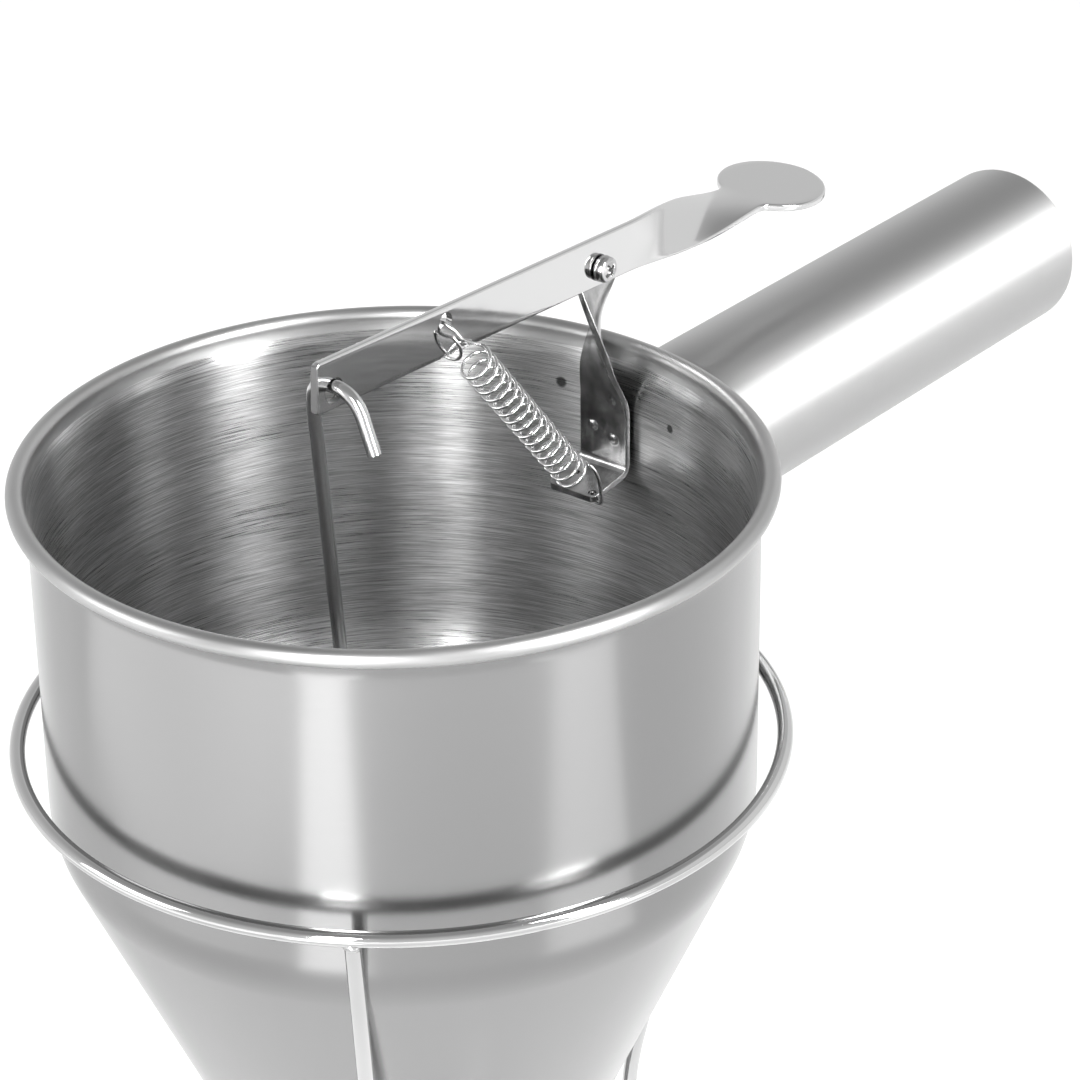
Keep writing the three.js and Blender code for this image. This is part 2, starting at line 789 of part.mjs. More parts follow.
add('stand_top_ring', wireRing(standRingRadius, ringZ), polishedSteel);
for (let i = 0; i < legCount; i += 1) {
  add(`stand_leg_${i + 1}`, standLeg(frontLegAngle + 2 * Math.PI * i / legCount), polishedSteel);
}
add('stand_base_ring', wireRing(baseRingRadius, baseRingZ), polishedSteel);
add('funnel_cylinder', funnelCylinder(), satinSteel);
add('funnel_cone', funnelCone(), satinSteel);
add('spout_tube', spoutTube(), satinSteel);
add('handle_tube', handleTube(), satinSteel);
add('handle_end_cap', handleEndCap(), satinSteel);
add('pivot_bracket', pivotBracket(), polishedSteel);
add('pivot_screw', pivotScrew(), polishedSteel);
add('spring_washer', springWasher(), polishedSteel);
add('pivot_nut', pivotNut(), polishedSteel);
add('return_spring', returnSpring(), springSteel);
add('thumb_lever', thumbLever(), polishedSteel);
add('valve_rod', valveRod(), polishedSteel);
add('valve_plug', valvePlug(), satinSteel);

const dispenser = new THREE.Group();
dispenser.add(assembly);

export default dispenser;
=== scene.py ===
"""A hand-held sauce dispenser of stainless steel, resting in its wire stand.

Shapes are worked out in millimetres from the foot of the funnel's axis, z up and the
handle along +x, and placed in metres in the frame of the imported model.
"""

import math

import bmesh
import bpy
import numpy as np
from mathutils import Matrix, Vector


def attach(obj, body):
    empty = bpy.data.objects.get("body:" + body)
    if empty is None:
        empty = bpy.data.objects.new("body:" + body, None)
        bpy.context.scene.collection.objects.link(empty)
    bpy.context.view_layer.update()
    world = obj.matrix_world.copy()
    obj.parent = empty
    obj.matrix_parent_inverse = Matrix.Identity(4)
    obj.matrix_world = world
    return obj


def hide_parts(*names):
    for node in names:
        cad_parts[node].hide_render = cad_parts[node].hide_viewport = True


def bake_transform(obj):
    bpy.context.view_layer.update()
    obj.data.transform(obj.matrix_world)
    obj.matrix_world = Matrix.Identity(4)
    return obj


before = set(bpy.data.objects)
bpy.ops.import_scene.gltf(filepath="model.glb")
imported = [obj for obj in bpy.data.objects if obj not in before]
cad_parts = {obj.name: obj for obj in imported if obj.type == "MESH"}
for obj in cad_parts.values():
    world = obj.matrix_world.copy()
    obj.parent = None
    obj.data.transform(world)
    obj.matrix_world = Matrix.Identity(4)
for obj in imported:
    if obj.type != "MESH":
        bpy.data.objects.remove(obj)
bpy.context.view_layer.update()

MM = 0.001
TURN = 2 * math.pi
DEG = math.pi / 180

# Sides of the turned meshes, points on a strip's rounded corner, and the least turn in degrees
# that shades as a sharp edge
BODY_SIDES = 288
RING_SIDES = 240
TUBE_SIDES = 160
SMALL_SIDES = 96
WIRE_SIDES = 28
FINE_SIDES = 12
CORNER_STEPS = 6
SHARP = 38

# Sizes shared with the solids
SHEET = 0.8
BODY_R = 75.0
CYLINDER_H = 76.5
CONE = 23.4 * DEG
SHOULDER_R = 28.0
CURL_R = 1.9
RIM_REACH = 2.0
FLARE_H = 6.0
TABLE_GAP = 10.0
SPOUT_R = 8.0
SPOUT_STRAIGHT = 6.0
SPOUT_TAPER = 5.0
NOZZLE_R = 4.8
NOZZLE_L = 12.0
HANDLE_R = 19.75
HANDLE_WALL = 1.0
HANDLE_DROP = 30.2
HANDLE_REACH = 233.0
CAP_T = 2.4
CAP_ROUND = 1.6
LEVER_W = 11.3
STRIP_T = 1.6
LEVER_INNER = 90.7
LEVER_SLOPE = 2.47 * DEG
PIVOT_X = 67.5
PIVOT_RISE = 21.8
LEVER_RISE = 1.5
TWIST_START = 10.0
TWIST_LENGTH = 44.0
LEVER_TWIST = 85 * DEG
NECK_DROP = 1.2
DISC_X = 63.5
DISC_R = 12.25
ROD_HOLE_INSET = 5.2
ROD_HOLE_RISE = -1.5
ROD_HOLE_R = 2.7
SPRING_HOLE_X = 51.3
SPRING_HOLE_RISE = 2.3
SPRING_HOLE_R = 2.0
SCREW_R = 1.3
HEAD_R = 2.9
HEAD_H = 1.6
WASHER_T = 0.7
NUT_FLATS = 5.5
NUT_H = 2.0
SCREW_TAIL = 0.8
BRACKET_W = 12.8
BRACKET_T = 1.5
FOOT_L = 12.4
FOOT_DROP = 8.5 * DEG
FOOT_BELOW = 28.3
FOOT_BEND = 2.2
LEAVE_BELOW = 14.0
STEP_IN = 2.6
STEP_RISE = 12.0
TWIST_POWER = 1.3
EAR_BELOW = 4.5
EAR_TOP = 5.2
EAR_GAP = 0.5
HOOK_INSET = 1.6
HOOK_HOLE_R = 0.9
SPARE_ALONG = 6.2
SPARE_ACROSS = 3.1
SPARE_R = 0.8
SPRING_WIRE = 0.8
COIL_R = 3.6
COIL_TURNS = 16
COIL_PITCH = 3.25
COIL_FOOT_GAP = 9.2
COIL_AIM = 2.5
LOOP_R = 5.0
LOOP_TILT = 22 * DEG
LOOP_INSET = 0.7
LOOP_DROP = 0.3
LOOP_BEHIND = 1.1
LOOP_START = 75 * DEG
LOOP_END = -305 * DEG
LOOP_STEP = 1.4
LINK_REACH = 1.5
HOOK_R = 1.25
HOOK_DROP = 0.4
HOOK_TIP = 1.4
SPRING_REACH = 6.0
ROD_R = 1.5
ROD_BEHIND = 5.6
ROD_BACK_BEND = 5.0
ROD_BACK_DROP = 7.5
ROD_FRONT_BEND = 5.5
ROD_FRONT = 6.2
ROD_HOOK_L = 13.2
ROD_HOOK_LEAN = 21 * DEG
PLUG_R = 5.4
COLLAR_R = 2.9
COLLAR_TOP = 9.0
SOCKET_DEPTH = 4.0
GAP = 0.3
WIRE_R = 1.7
RING_R = 80.8
RING_BELOW = 60.0
LEG_WAIST = 112.0
WAIST_BEND = 16.0
BASE_R = 68.0
FRONT_LEG = -146.3 * DEG
LEGS = 3

SPOUT_TOP = TABLE_GAP + NOZZLE_L + SPOUT_TAPER + SPOUT_STRAIGHT
CORNER_Z = SPOUT_TOP + (BODY_R - SPOUT_R) / math.tan(CONE)
RIM_Z = CORNER_Z + CYLINDER_H
SEAM_Z = CORNER_Z + SHOULDER_R * math.tan(CONE / 2)
HANDLE_Z = RIM_Z - HANDLE_DROP
PIVOT_Z = RIM_Z + PIVOT_RISE
RING_Z = RIM_Z - RING_BELOW
BASE_Z = WIRE_R * math.cos(math.pi / 10)
SHIFT = (RING_R + WIRE_R - HANDLE_REACH) / 2
BRACKET_Y = STRIP_T / 2 + EAR_GAP + BRACKET_T / 2
X, Y, Z = np.eye(3)


# Grids and meshes


def unit(v):
    """Each vector over its own length."""
    v = np.asarray(v, float)
    return v / np.linalg.norm(v, axis=-1, keepdims=True)


def ease(t):
    """The smooth rise 3t^2 - 2t^3 between 0 and 1."""
    t = np.clip(t, 0, 1)
    return t * t * (3 - 2 * t)


def skin(name, grid, body, materials, wrap=(False, True), pick=None, sharp=SHARP):
    """A mesh over a grid of points, rows by columns by 3: each face joins (i, j), (i + 1, j),
    (i + 1, j + 1) and (i, j + 1), and wrap says which way the grid closes on itself."""
    rows, columns = grid.shape[:2]
    points = (grid.reshape(-1, 3) + [SHIFT, 0, 0]) * MM
    i, j = np.meshgrid(
        np.arange(rows - (not wrap[0])), np.arange(columns - (not wrap[1])), indexing="ij"
    )
    i, j = i.ravel(), j.ravel()
    down, along = (i + 1) % rows, (j + 1) % columns
    faces = np.stack(
        [i * columns + j, down * columns + j, down * columns + along, i * columns + along], 1
    )
    mesh = bpy.data.meshes.new(name)
    mesh.vertices.add(len(points))
    mesh.vertices.foreach_set("co", points.astype(np.float32).ravel())
    mesh.loops.add(faces.size)
    mesh.loops.foreach_set("vertex_index", faces.astype(np.int32).ravel())
    mesh.polygons.add(len(faces))
    mesh.polygons.foreach_set("loop_start", np.arange(0, faces.size, 4, dtype=np.int32))
    if pick is not None:
        mesh.polygons.foreach_set("material_index", np.asarray(pick)[i].astype(np.int32))
    mesh.update(calc_edges=True)
    return piece(name, mesh, body, materials, sharp)


def piece(name, mesh, body, materials, sharp):
    """The mesh as a finished object: doubled points merged, faces outwards, smooth but for
    edges that turn by more than sharp degrees, and riding on its body."""
    work = bmesh.new()
    work.from_mesh(mesh)
    bmesh.ops.remove_doubles(work, verts=work.verts, dist=1e-6)
    bmesh.ops.dissolve_degenerate(work, edges=work.edges, dist=1e-7)
    bmesh.ops.recalc_face_normals(work, faces=work.faces)
    if work.calc_volume(signed=True) < 0:
        bmesh.ops.reverse_faces(work, faces=work.faces)
    work.to_mesh(mesh)
    work.free()
    for material in materials:
        mesh.materials.append(material)
    mesh.shade_smooth()
    mesh.set_sharp_from_angle(angle=sharp * DEG)
    obj = bpy.data.objects.new(name, mesh)
    bpy.context.scene.collection.objects.link(obj)
    if body:
        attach(obj, body)
    return obj


def arc(x, y, radius, start, end, steps):
    """Points (x + r cos a, y + r sin a) for angles from start to end."""
    a = np.linspace(start, end, steps + 1)
    return np.stack([x + radius * np.cos(a), y + radius * np.sin(a)], 1)


def lathe(profile, segments, origin=(0, 0, 0), axis=Z, side=X):
    """A profile of (radius, height) turned about an axis: origin + height * axis + radius *
    (side cos a + other sin a)."""
    a = np.arange(segments) * TURN / segments
    other = np.cross(axis, side)
    spoke = np.cos(a)[:, None] * side + np.sin(a)[:, None] * other
    r, h = np.asarray(profile, float).T
    return np.asarray(origin) + r[:, None, None] * spoke + h[:, None, None] * np.asarray(axis)


def tube(path, radius, sides, reference, caps=True, ripple=0):
    """A round wire: at each point of the path, a circle across the tangent, with its spokes
    along tangent x reference and square to that. Capped ends shrink to their middles over a
    small chamfer, and ripple adds a share of cos(34 a) as on a hand-laid weld."""
    path = np.asarray(path, float)
    radius = np.broadcast_to(np.asarray(radius, float), len(path)).copy()
    if caps:
        tangent = unit(np.gradient(path, axis=0))
        chamfer = 0.16 * radius[0]
        ends = path[[0, -1]] + np.array([1, -1])[:, None] * tangent[[0, -1]] * chamfer
        path = np.concatenate([path[:1], path[:1], ends[:1], path[1:-1], ends[1:], path[-1:], path[-1:]])
        tangent = np.concatenate([tangent[:1]] * 3 + [tangent[1:-1]] + [tangent[-1:]] * 3)
        big = radius[1:-1]
        radius = np.concatenate(
            [[0, radius[0] - chamfer, radius[0]], big, [radius[-1], radius[-1] - chamfer, 0]]
        )
    else:
        tangent = unit(np.roll(path, -1, 0) - np.roll(path, 1, 0))
    across = unit(np.cross(tangent, reference))
    upward = np.cross(across, tangent)
    a = np.arange(sides) * TURN / sides
    if ripple:
        radius = radius * (1 + ripple * np.cos(34 * np.linspace(0, TURN, len(radius))))
    spoke = np.cos(a)[:, None] * across[:, None] + np.sin(a)[:, None] * upward[:, None]
    return path[:, None] + radius[:, None, None] * spoke


def bezier(a, b, c, steps):
    """The quadratic curve (1-t)^2 a + 2t(1-t) b + t^2 c."""
    t = np.linspace(0, 1, steps + 1)[:, None]
    return (1 - t) ** 2 * a + 2 * t * (1 - t) * b + t**2 * c


def link(a, going, b, coming, steps, reach):
    """The cubic curve from a, leaving along going, to b, arriving along coming."""
    t = np.linspace(0, 1, steps + 1)[1:-1, None]
    p, q = a + going * reach, b - coming * reach
    return (1 - t) ** 3 * a + 3 * t * (1 - t) ** 2 * p + 3 * t**2 * (1 - t) * q + t**3 * b


def ribbon(middle, across, through, half, thick, corner=0.22, flats=10):
    """A strip: at each station a rounded rectangle, a = f (half - corner) + corner cos,
    b = thick / 2 - corner + corner sin, laid along across and through. The first and last
    stations shrink to their middles and close the ends."""
    quarter = np.linspace(0, math.pi / 2, CORNER_STEPS)
    f, oa, ob = [], [], []
    for turn, (sa, sb) in enumerate([(1, 1), (-1, 1), (-1, -1), (1, -1)]):
        a = quarter + turn * math.pi / 2
        f.append(np.full(CORNER_STEPS, float(sa)))
        oa.append(np.cos(a))
        ob.append(np.stack([np.sin(a), np.full(CORNER_STEPS, float(sb))], 1))
        if sa == sb:
            steps = np.linspace(sa, -sa, flats + 1)[1:-1]
            f.append(steps)
            oa.append(np.zeros(flats - 1))
            ob.append(np.full((flats - 1, 2), float(sb)))
    f, oa, ob = np.concatenate(f), np.concatenate(oa), np.concatenate(ob)
    half = np.asarray(half, float)
    thick = np.broadcast_to(thick, half.shape)
    c = np.minimum(np.minimum(corner, half / 2), thick / 2)[:, None]
    a = f * (half[:, None] - c) + oa * c
    b = ob[:, 1] * (thick[:, None] / 2 - c) + ob[:, 0] * c
    grid = middle[:, None] + a[..., None] * across[:, None] + b[..., None] * through[:, None]
    first = np.broadcast_to(middle[:1, None], grid[:1].shape)
    last = np.broadcast_to(middle[-1:, None], grid[-1:].shape)
    return np.concatenate([first, grid, last])


def drilled(obj, *holes):
    """obj with round holes cut by a boolean, each given as (place, axis, radius, depth)."""
    for place, axis, radius, depth in holes:
        profile = [(0, -depth), (radius, -depth), (radius, depth), (0, depth)]
        side = unit(np.cross(axis, [0.31, 0.52, 0.79]))
        cutter = skin("cutter", lathe(profile, 48, place, unit(axis), side), None, [])
        cut = obj.modifiers.new("cut", "BOOLEAN")
        cut.object, cut.operation, cut.solver = cutter, "DIFFERENCE", "EXACT"
        bpy.context.view_layer.update()
        evaluated = obj.evaluated_get(bpy.context.evaluated_depsgraph_get())
        mesh = bpy.data.meshes.new_from_object(evaluated)
        obj.modifiers.clear()
        old, obj.data = obj.data, mesh
        bpy.data.meshes.remove(old)
        bpy.data.objects.remove(cutter)
    obj.data.shade_smooth()
    obj.data.set_sharp_from_angle(angle=SHARP * DEG)
    return obj


PIVOT = np.array([PIVOT_X, 0, PIVOT_Z])


def on_lever(along, above):
    """A place on the lever, so far along from the pivot and so far above its middle line."""
    c, s = math.cos(LEVER_SLOPE), math.sin(LEVER_SLOPE)
    above = above + LEVER_RISE
    return PIVOT + [along * c + above * s, 0, above * c - along * s]


ROD_HOLE = on_lever(ROD_HOLE_INSET - LEVER_INNER, ROD_HOLE_RISE)


# Finishes


class Finish:
    """A node material under construction, with one call for each kind of node."""

    def __init__(self, name):
        self.material = bpy.data.materials.new(name)
        self.material.use_nodes = True
        self.tree = self.material.node_tree
        self.shader = self.tree.nodes["Principled BSDF"]
        self.place = self.node("ShaderNodeTexCoord").outputs["Object"]

    def node(self, kind, **values):
        """A node of that kind, with its own settings."""
        made = self.tree.nodes.new(kind)
        for key, value in values.items():
            setattr(made, key, value)
        return made

    def join(self, source, socket):
        self.tree.links.new(source, socket)

    def stretched(self, scale, turn):
        """Object coordinates turned, and stretched by scale, in features per metre."""
        mapping = self.node("ShaderNodeMapping")
        mapping.inputs["Scale"].default_value = scale
        mapping.inputs["Rotation"].default_value = turn
        self.join(self.place, mapping.inputs["Vector"])
        return mapping.outputs[0]

    def noise(self, scale, detail, rough, turn=(0, 0, 0)):
        """Soft noise over stretched coordinates."""
        made = self.node("ShaderNodeTexNoise")
        made.inputs["Scale"].default_value = 1.0
        made.inputs["Detail"].default_value = detail
        made.inputs["Roughness"].default_value = rough
        self.join(self.stretched(scale, turn), made.inputs["Vector"])
        return made.outputs["Fac"]

    def mapped(self, value, a, b, low, high):
        """A value's range a to b carried to low to high."""
        made = self.node("ShaderNodeMapRange")
        for name, number in zip(("From Min", "From Max", "To Min", "To Max"), (a, b, low, high)):
            made.inputs[name].default_value = number
        self.join(value, made.inputs["Value"])
        return made.outputs["Result"]

    def maths(self, operation, a, b):
        """Two values, or a value and a number, through one operation."""
        made = self.node("ShaderNodeMath", operation=operation)
        for socket, value in zip(made.inputs, (a, b)):
            if isinstance(value, (int, float)):
                socket.default_value = value
            else:
                self.join(value, socket)
        return made.outputs[0]

    def spot(self, centre, radius):
        """1 within half the radius of a place, falling to 0 at the radius."""
        made = self.node("ShaderNodeVectorMath", operation="DISTANCE")
        self.join(self.place, made.inputs[0])
        made.inputs[1].default_value = (np.asarray(centre) + [SHIFT, 0, 0]) * MM
        return self.mapped(made.outputs["Value"], radius * MM / 2, radius * MM, 1, 0)

    def grey(self, value, dark, light):
        """A value from 0 to 1 as a grey between dark and light."""
        made = self.node("ShaderNodeMix", data_type="RGBA")
        made.inputs["A"].default_value = (*dark, 1)
        made.inputs["B"].default_value = (*light, 1)
        self.join(value, made.inputs["Factor"])
        self.join(made.outputs["Result"], self.shader.inputs["Base Color"])

    def relief(self, value, depth):
        """The value as a fine relief on the surface, depth in millimetres."""
        made = self.node("ShaderNodeBump")
        made.inputs["Strength"].default_value = 1.0
        made.inputs["Distance"].default_value = depth * MM
        self.join(value, made.inputs["Height"])
        self.join(made.outputs["Normal"], self.shader.inputs["Normal"])

    def brushed_round(self, axis, amount):
        """Brushed round an axis: highlights spread square to the scratches by the amount."""
        made = self.node("ShaderNodeTangent", direction_type="RADIAL", axis=axis)
        self.join(made.outputs[0], self.shader.inputs["Tangent"])
        self.shader.inputs["Anisotropic"].default_value = amount
        self.shader.inputs["Anisotropic Rotation"].default_value = 0.25


def tone(grey):
    """A neutral steel grey."""
    return (grey, grey, grey)


def steel(name, dark, light, roughness, grain, depth, blotch=(9, 9, 9), axis=None, spread=0.0):
    """Polished or satin steel: fine grain in its relief and gloss, and slow clouds in its grey."""
    finish = Finish(name)
    finish.shader.inputs["Metallic"].default_value = 1.0
    lines = finish.noise(grain, 4.0, 0.65)
    clouds = finish.noise(blotch, 2.0, 0.5)
    finish.grey(finish.mapped(clouds, 0.35, 0.65, 0, 1), tone(dark), tone(light))
    low, high = roughness
    mixed = finish.maths("MULTIPLY", lines, clouds)
    finish.join(finish.mapped(mixed, 0.12, 0.4, low, high), finish.shader.inputs["Roughness"])
    if depth:
        finish.relief(lines, depth)
    if axis:
        finish.brushed_round(axis, spread)
    return finish.material


def brushed_bowl():
    """The wall inside: fine scratches round the bowl at a slight slant, dark and light, with two
    small heat marks where the handle's welds come through."""
    finish = Finish("brushed_bowl")
    finish.shader.inputs["Metallic"].default_value = 1.0
    fine = finish.noise((90, 90, 6200), 3.0, 0.75, turn=(0.01, 0.006, 0))
    coarse = finish.noise((60, 60, 3100), 3.0, 0.7, turn=(-0.03, 0.02, 0))
    clouds = finish.noise((16, 16, 40), 2.0, 0.5)
    lines = finish.maths("ADD", finish.maths("MULTIPLY", fine, 0.6), finish.maths("MULTIPLY", coarse, 0.4))
    shade = finish.mapped(lines, 0.4, 0.6, 0.35, 1)
    left_mark = finish.spot((72.8, 14.4, RIM_Z - 11.6), 1.5)
    right_mark = finish.spot((72.5, -15.8, RIM_Z - 14.0), 1.1)
    marks = finish.maths("ADD", left_mark, right_mark)
    clean = finish.maths("SUBTRACT", shade, marks)
    finish.grey(clean, tone(0.1), tone(0.72))
    gloss = finish.maths("ADD", finish.maths("MULTIPLY", lines, 0.5), finish.maths("MULTIPLY", clouds, 0.5))
    finish.join(finish.mapped(gloss, 0.35, 0.65, 0.24, 0.36), finish.shader.inputs["Roughness"])
    finish.relief(lines, 0.002)
    finish.brushed_round("Z", 0.93)
    return finish.material


def cut_strip():
    """The lever's strip: polished faces, a darker, rougher end where it was cut off, and painted shade on
    the wall of the rod's hole.
    """
    finish = Finish("polished_strip")
    finish.shader.inputs["Metallic"].default_value = 1.0
    clouds = finish.noise((14, 20, 30), 2.0, 0.5)
    lines = finish.noise((90, 700, 700), 4.0, 0.65)
    split = finish.node("ShaderNodeSeparateXYZ")
    finish.join(finish.place, split.inputs[0])
    end = (PIVOT_X - LEVER_INNER + SHIFT) * MM
    face = finish.mapped(split.outputs["X"], end + 0.6 * MM, end + 0.8 * MM, 0, 1)
    # Painted shade: the wall of the rod's hole is set to the darker grey, standing in for the shade and
    # dark reflection inside the hole.
    rod_hole = finish.node("ShaderNodeVectorMath", operation="DISTANCE")
    finish.join(finish.place, rod_hole.inputs[0])
    rod_hole.inputs[1].default_value = ROD_HOLE * MM + [SHIFT * MM, 0, 0]
    bore = math.hypot(ROD_HOLE_R, STRIP_T / 2)
    clear_of_bore_shade = finish.mapped(rod_hole.outputs["Value"], (bore + 0.02) * MM, (bore + 0.06) * MM, 0, 1)
    # The darker grey is the cut end's own colour and, in the rod's hole, painted shade.
    finish.grey(finish.maths("MULTIPLY", face, clear_of_bore_shade), tone(0.2), tone(0.6))
    worn = finish.maths("MULTIPLY", lines, clouds)
    gloss = finish.mapped(worn, 0.12, 0.4, 0.05, 0.12)
    rough = finish.maths("SUBTRACT", 0.45, finish.maths("MULTIPLY", face, 0.45))
    finish.join(finish.maths("ADD", gloss, rough), finish.shader.inputs["Roughness"])
    finish.relief(lines, 0.0009)
    return finish.material


# Each steel has its darkest and lightest grey, its range of roughness, its grain per metre along
# x, y and z, the grain's depth in millimetres, its clouds per metre, and for brushed metal the
# axis it was brushed round and how far that spreads a highlight.
satin = steel("satin_sheet", 0.28, 0.3, (0.19, 0.23), (30, 30, 3800), 0.0003, (6, 6, 3), "Z", 0.6)
bowl = brushed_bowl()
rim_steel = steel("burnished_rim", 0.37, 0.43, (0.34, 0.42), (60, 60, 900), 0.001, (20, 20, 20), "Z", 0.4)
handle_steel = steel("satin_tube", 0.43, 0.47, (0.4, 0.44), (2600, 40, 40), 0.0002, (3, 9, 9), "X", 0.95)
turned_steel = steel("turned_steel", 0.48, 0.55, (0.2, 0.3), (60, 60, 4200), 0.002, (30, 30, 30), "Z", 0.5)
strip_steel = cut_strip()
bracket_steel = steel("bracket_strip", 0.32, 0.52, (0.12, 0.26), (900, 900, 300), 0.002, (260, 260, 200))
wire_steel = steel("bright_wire", 0.5, 0.58, (0.04, 0.1), (200, 200, 200), 0.001, (25, 25, 25))
rod_steel = steel("rod_wire", 0.46, 0.7, (0.12, 0.22), (700, 700, 20), 0.001, (30, 30, 12))
spring_steel = steel("spring_wire", 0.6, 0.68, (0.1, 0.16), (500, 500, 500), 0.0005, (60, 60, 60))
screw_steel = steel("screw_metal", 0.45, 0.55, (0.1, 0.2), (900, 900, 900), 0.002, (200, 200, 200))
weld_steel = steel("weld_bead", 0.4, 0.55, (0.14, 0.3), (1200, 1200, 1200), 0.006, (500, 500, 500))


# Funnel


def sheet_profile(middle, thickness):
    """The closed outline of a sheet: its middle line moved by half the thickness to each side
    along the line's normal, up one side and back down the other."""
    along = unit(np.gradient(middle, axis=0))
    normal = np.stack([-along[:, 1], along[:, 0]], 1) * thickness / 2
    return np.concatenate([middle + normal, (middle - normal)[::-1]])


def funnel_wall():
    """The rolled wall: straight up, a smooth S outwards over the flare, and round the curl."""
    curl_end, bowl_below = -95 * DEG, 2.6
    wall = BODY_R - SHEET / 2
    curl = CURL_R - SHEET / 2
    centre = BODY_R + RIM_REACH
    straight = np.stack([np.full(24, wall), np.linspace(SEAM_Z, RIM_Z - FLARE_H, 24)], 1)
    t = np.linspace(0, 1, 15)[1:-1]
    flare = np.stack([wall + (centre - curl - wall) * ease(t), RIM_Z - FLARE_H * (1 - t)], 1)
    roll = arc(centre, RIM_Z, curl, math.pi, curl_end, 40)
    middle = np.concatenate([straight, flare, roll])
    profile = sheet_profile(middle, SHEET)
    count = len(middle)
    rows = np.arange(len(profile))
    inside = (rows < count) & (profile[:, 1] < RIM_Z - bowl_below)
    rolled = (rows < count) & ~inside
    pick = np.where(inside, 1, np.where(rolled, 2, 0))
    finishes = [satin, bowl, rim_steel]
    grid = lathe(profile, BODY_SIDES)
    made = skin("funnel_wall", grid, "funnel", finishes, (True, True), pick)
    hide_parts("funnel_cylinder")


def funnel_cone():
    """The spun cone: the shoulder's round, then straight to the spout, and back inside."""
    centre = BODY_R - SHOULDER_R
    outer = arc(centre, SEAM_Z, SHOULDER_R, 0, -CONE, 20)
    inner = arc(centre, SEAM_Z, SHOULDER_R - SHEET, -CONE, 0, 20)
    mouth = SPOUT_R - SHEET / math.cos(CONE)
    t = np.linspace(0, 1, 41)[1:, None]
    out_run = outer[-1] + t * (np.array([SPOUT_R, SPOUT_TOP]) - outer[-1])
    mouth_edge = np.array([mouth, SPOUT_TOP])
    in_run = mouth_edge + (t - t[0]) / (1 - t[0]) * (inner[0] - mouth_edge)
    profile = np.concatenate([outer, out_run, in_run[:-1], inner])
    pick = np.where(np.arange(len(profile)) < len(outer) + len(out_run), 0, 1)
    grid = lathe(profile, BODY_SIDES)
    made = skin("funnel_cone", grid, "funnel", [satin, bowl], (True, True), pick)
    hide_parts("funnel_cone")


def spout():
    """The spout tube, with rounded lips, and the small weld that joins it to the cone."""
    taper_top = SPOUT_TOP - SPOUT_STRAIGHT
    taper_foot = taper_top - SPOUT_TAPER
    bore, top_bore = NOZZLE_R - SHEET, SPOUT_R - SHEET
    soft = 1.0
    slant = soft * (SPOUT_R - NOZZLE_R) / SPOUT_TAPER
    lip = arc(NOZZLE_R - SHEET / 2, TABLE_GAP + SHEET / 2, SHEET / 2, -math.pi, 0, 10)
    profile = np.concatenate([
        lip,
        bezier(np.array([NOZZLE_R, taper_foot - soft]), np.array([NOZZLE_R, taper_foot]),
               np.array([NOZZLE_R + slant, taper_foot + soft]), 6),
        bezier(np.array([SPOUT_R - slant, taper_top - soft]), np.array([SPOUT_R, taper_top]),
               np.array([SPOUT_R, taper_top + soft]), 6),
        [[SPOUT_R, SPOUT_TOP], [top_bore, SPOUT_TOP], [top_bore, taper_top], [bore, taper_foot]],
    ])
    grid = lathe(profile, SMALL_SIDES)
    made = skin("spout", grid, "funnel", [turned_steel], (True, True))
    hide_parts("spout_tube")
    a = np.arange(TUBE_SIDES) * TURN / TUBE_SIDES
    height = np.full(TUBE_SIDES, SPOUT_TOP)
    ring = np.stack([SPOUT_R * np.cos(a), SPOUT_R * np.sin(a), height], 1)
    bead = tube(ring, 0.55, FINE_SIDES, Z, caps=False, ripple=0.12)
    skin("spout_weld", bead, "funnel", [weld_steel], (True, True))


# Handle


def handle():
    """The tube: for each angle a straight run from the round wall, x = sqrt(R^2 - y^2), to the
    cap, outside and back inside. Then the cap with its rounded edge, and the weld bead."""
    a = np.arange(TUBE_SIDES) * TURN / TUBE_SIDES
    run = np.linspace(0, 1, 60)[:, None]
    parts = []
    for radius, order in ((HANDLE_R, run), (HANDLE_R - HANDLE_WALL, run[::-1])):
        y, z = radius * np.cos(a), radius * np.sin(a)
        start = np.sqrt((BODY_R + GAP) ** 2 - y**2)
        end = HANDLE_REACH - CAP_T
        x = start + order * (end - start)
        parts.append(np.stack(np.broadcast_arrays(x, y, z + HANDLE_Z), -1))
    grid = np.concatenate(parts)
    made = skin("handle_tube", grid, "funnel", [handle_steel], (True, True))
    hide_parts("handle_tube")
    edge = HANDLE_R - CAP_ROUND
    spigot, spigot_end = HANDLE_R - HANDLE_WALL - GAP, -3
    profile = np.concatenate([
        [[0, spigot_end], [spigot, spigot_end], [spigot, 0], [HANDLE_R, 0]],
        arc(edge, CAP_T - CAP_ROUND, CAP_ROUND, 0, math.pi / 2, 14),
        [[r, CAP_T] for r in (15, 12, 9, 6, 3, 0)],
    ])
    place = (HANDLE_REACH - CAP_T, 0, HANDLE_Z)
    grid = lathe(profile, TUBE_SIDES, place, X, Y)
    cap = skin("handle_cap", grid, "funnel", [handle_steel])
    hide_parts("handle_end_cap")
    bead_r = HANDLE_R + 0.1
    y, z = bead_r * np.cos(a), bead_r * np.sin(a)
    saddle = np.stack([np.sqrt((BODY_R + GAP) ** 2 - y**2), y, z + HANDLE_Z], 1)
    bead = tube(saddle, 0.75, FINE_SIDES, X, caps=False, ripple=0.05)
    skin("handle_weld", bead, "funnel", [weld_steel], (True, True))


# Bracket and pivot

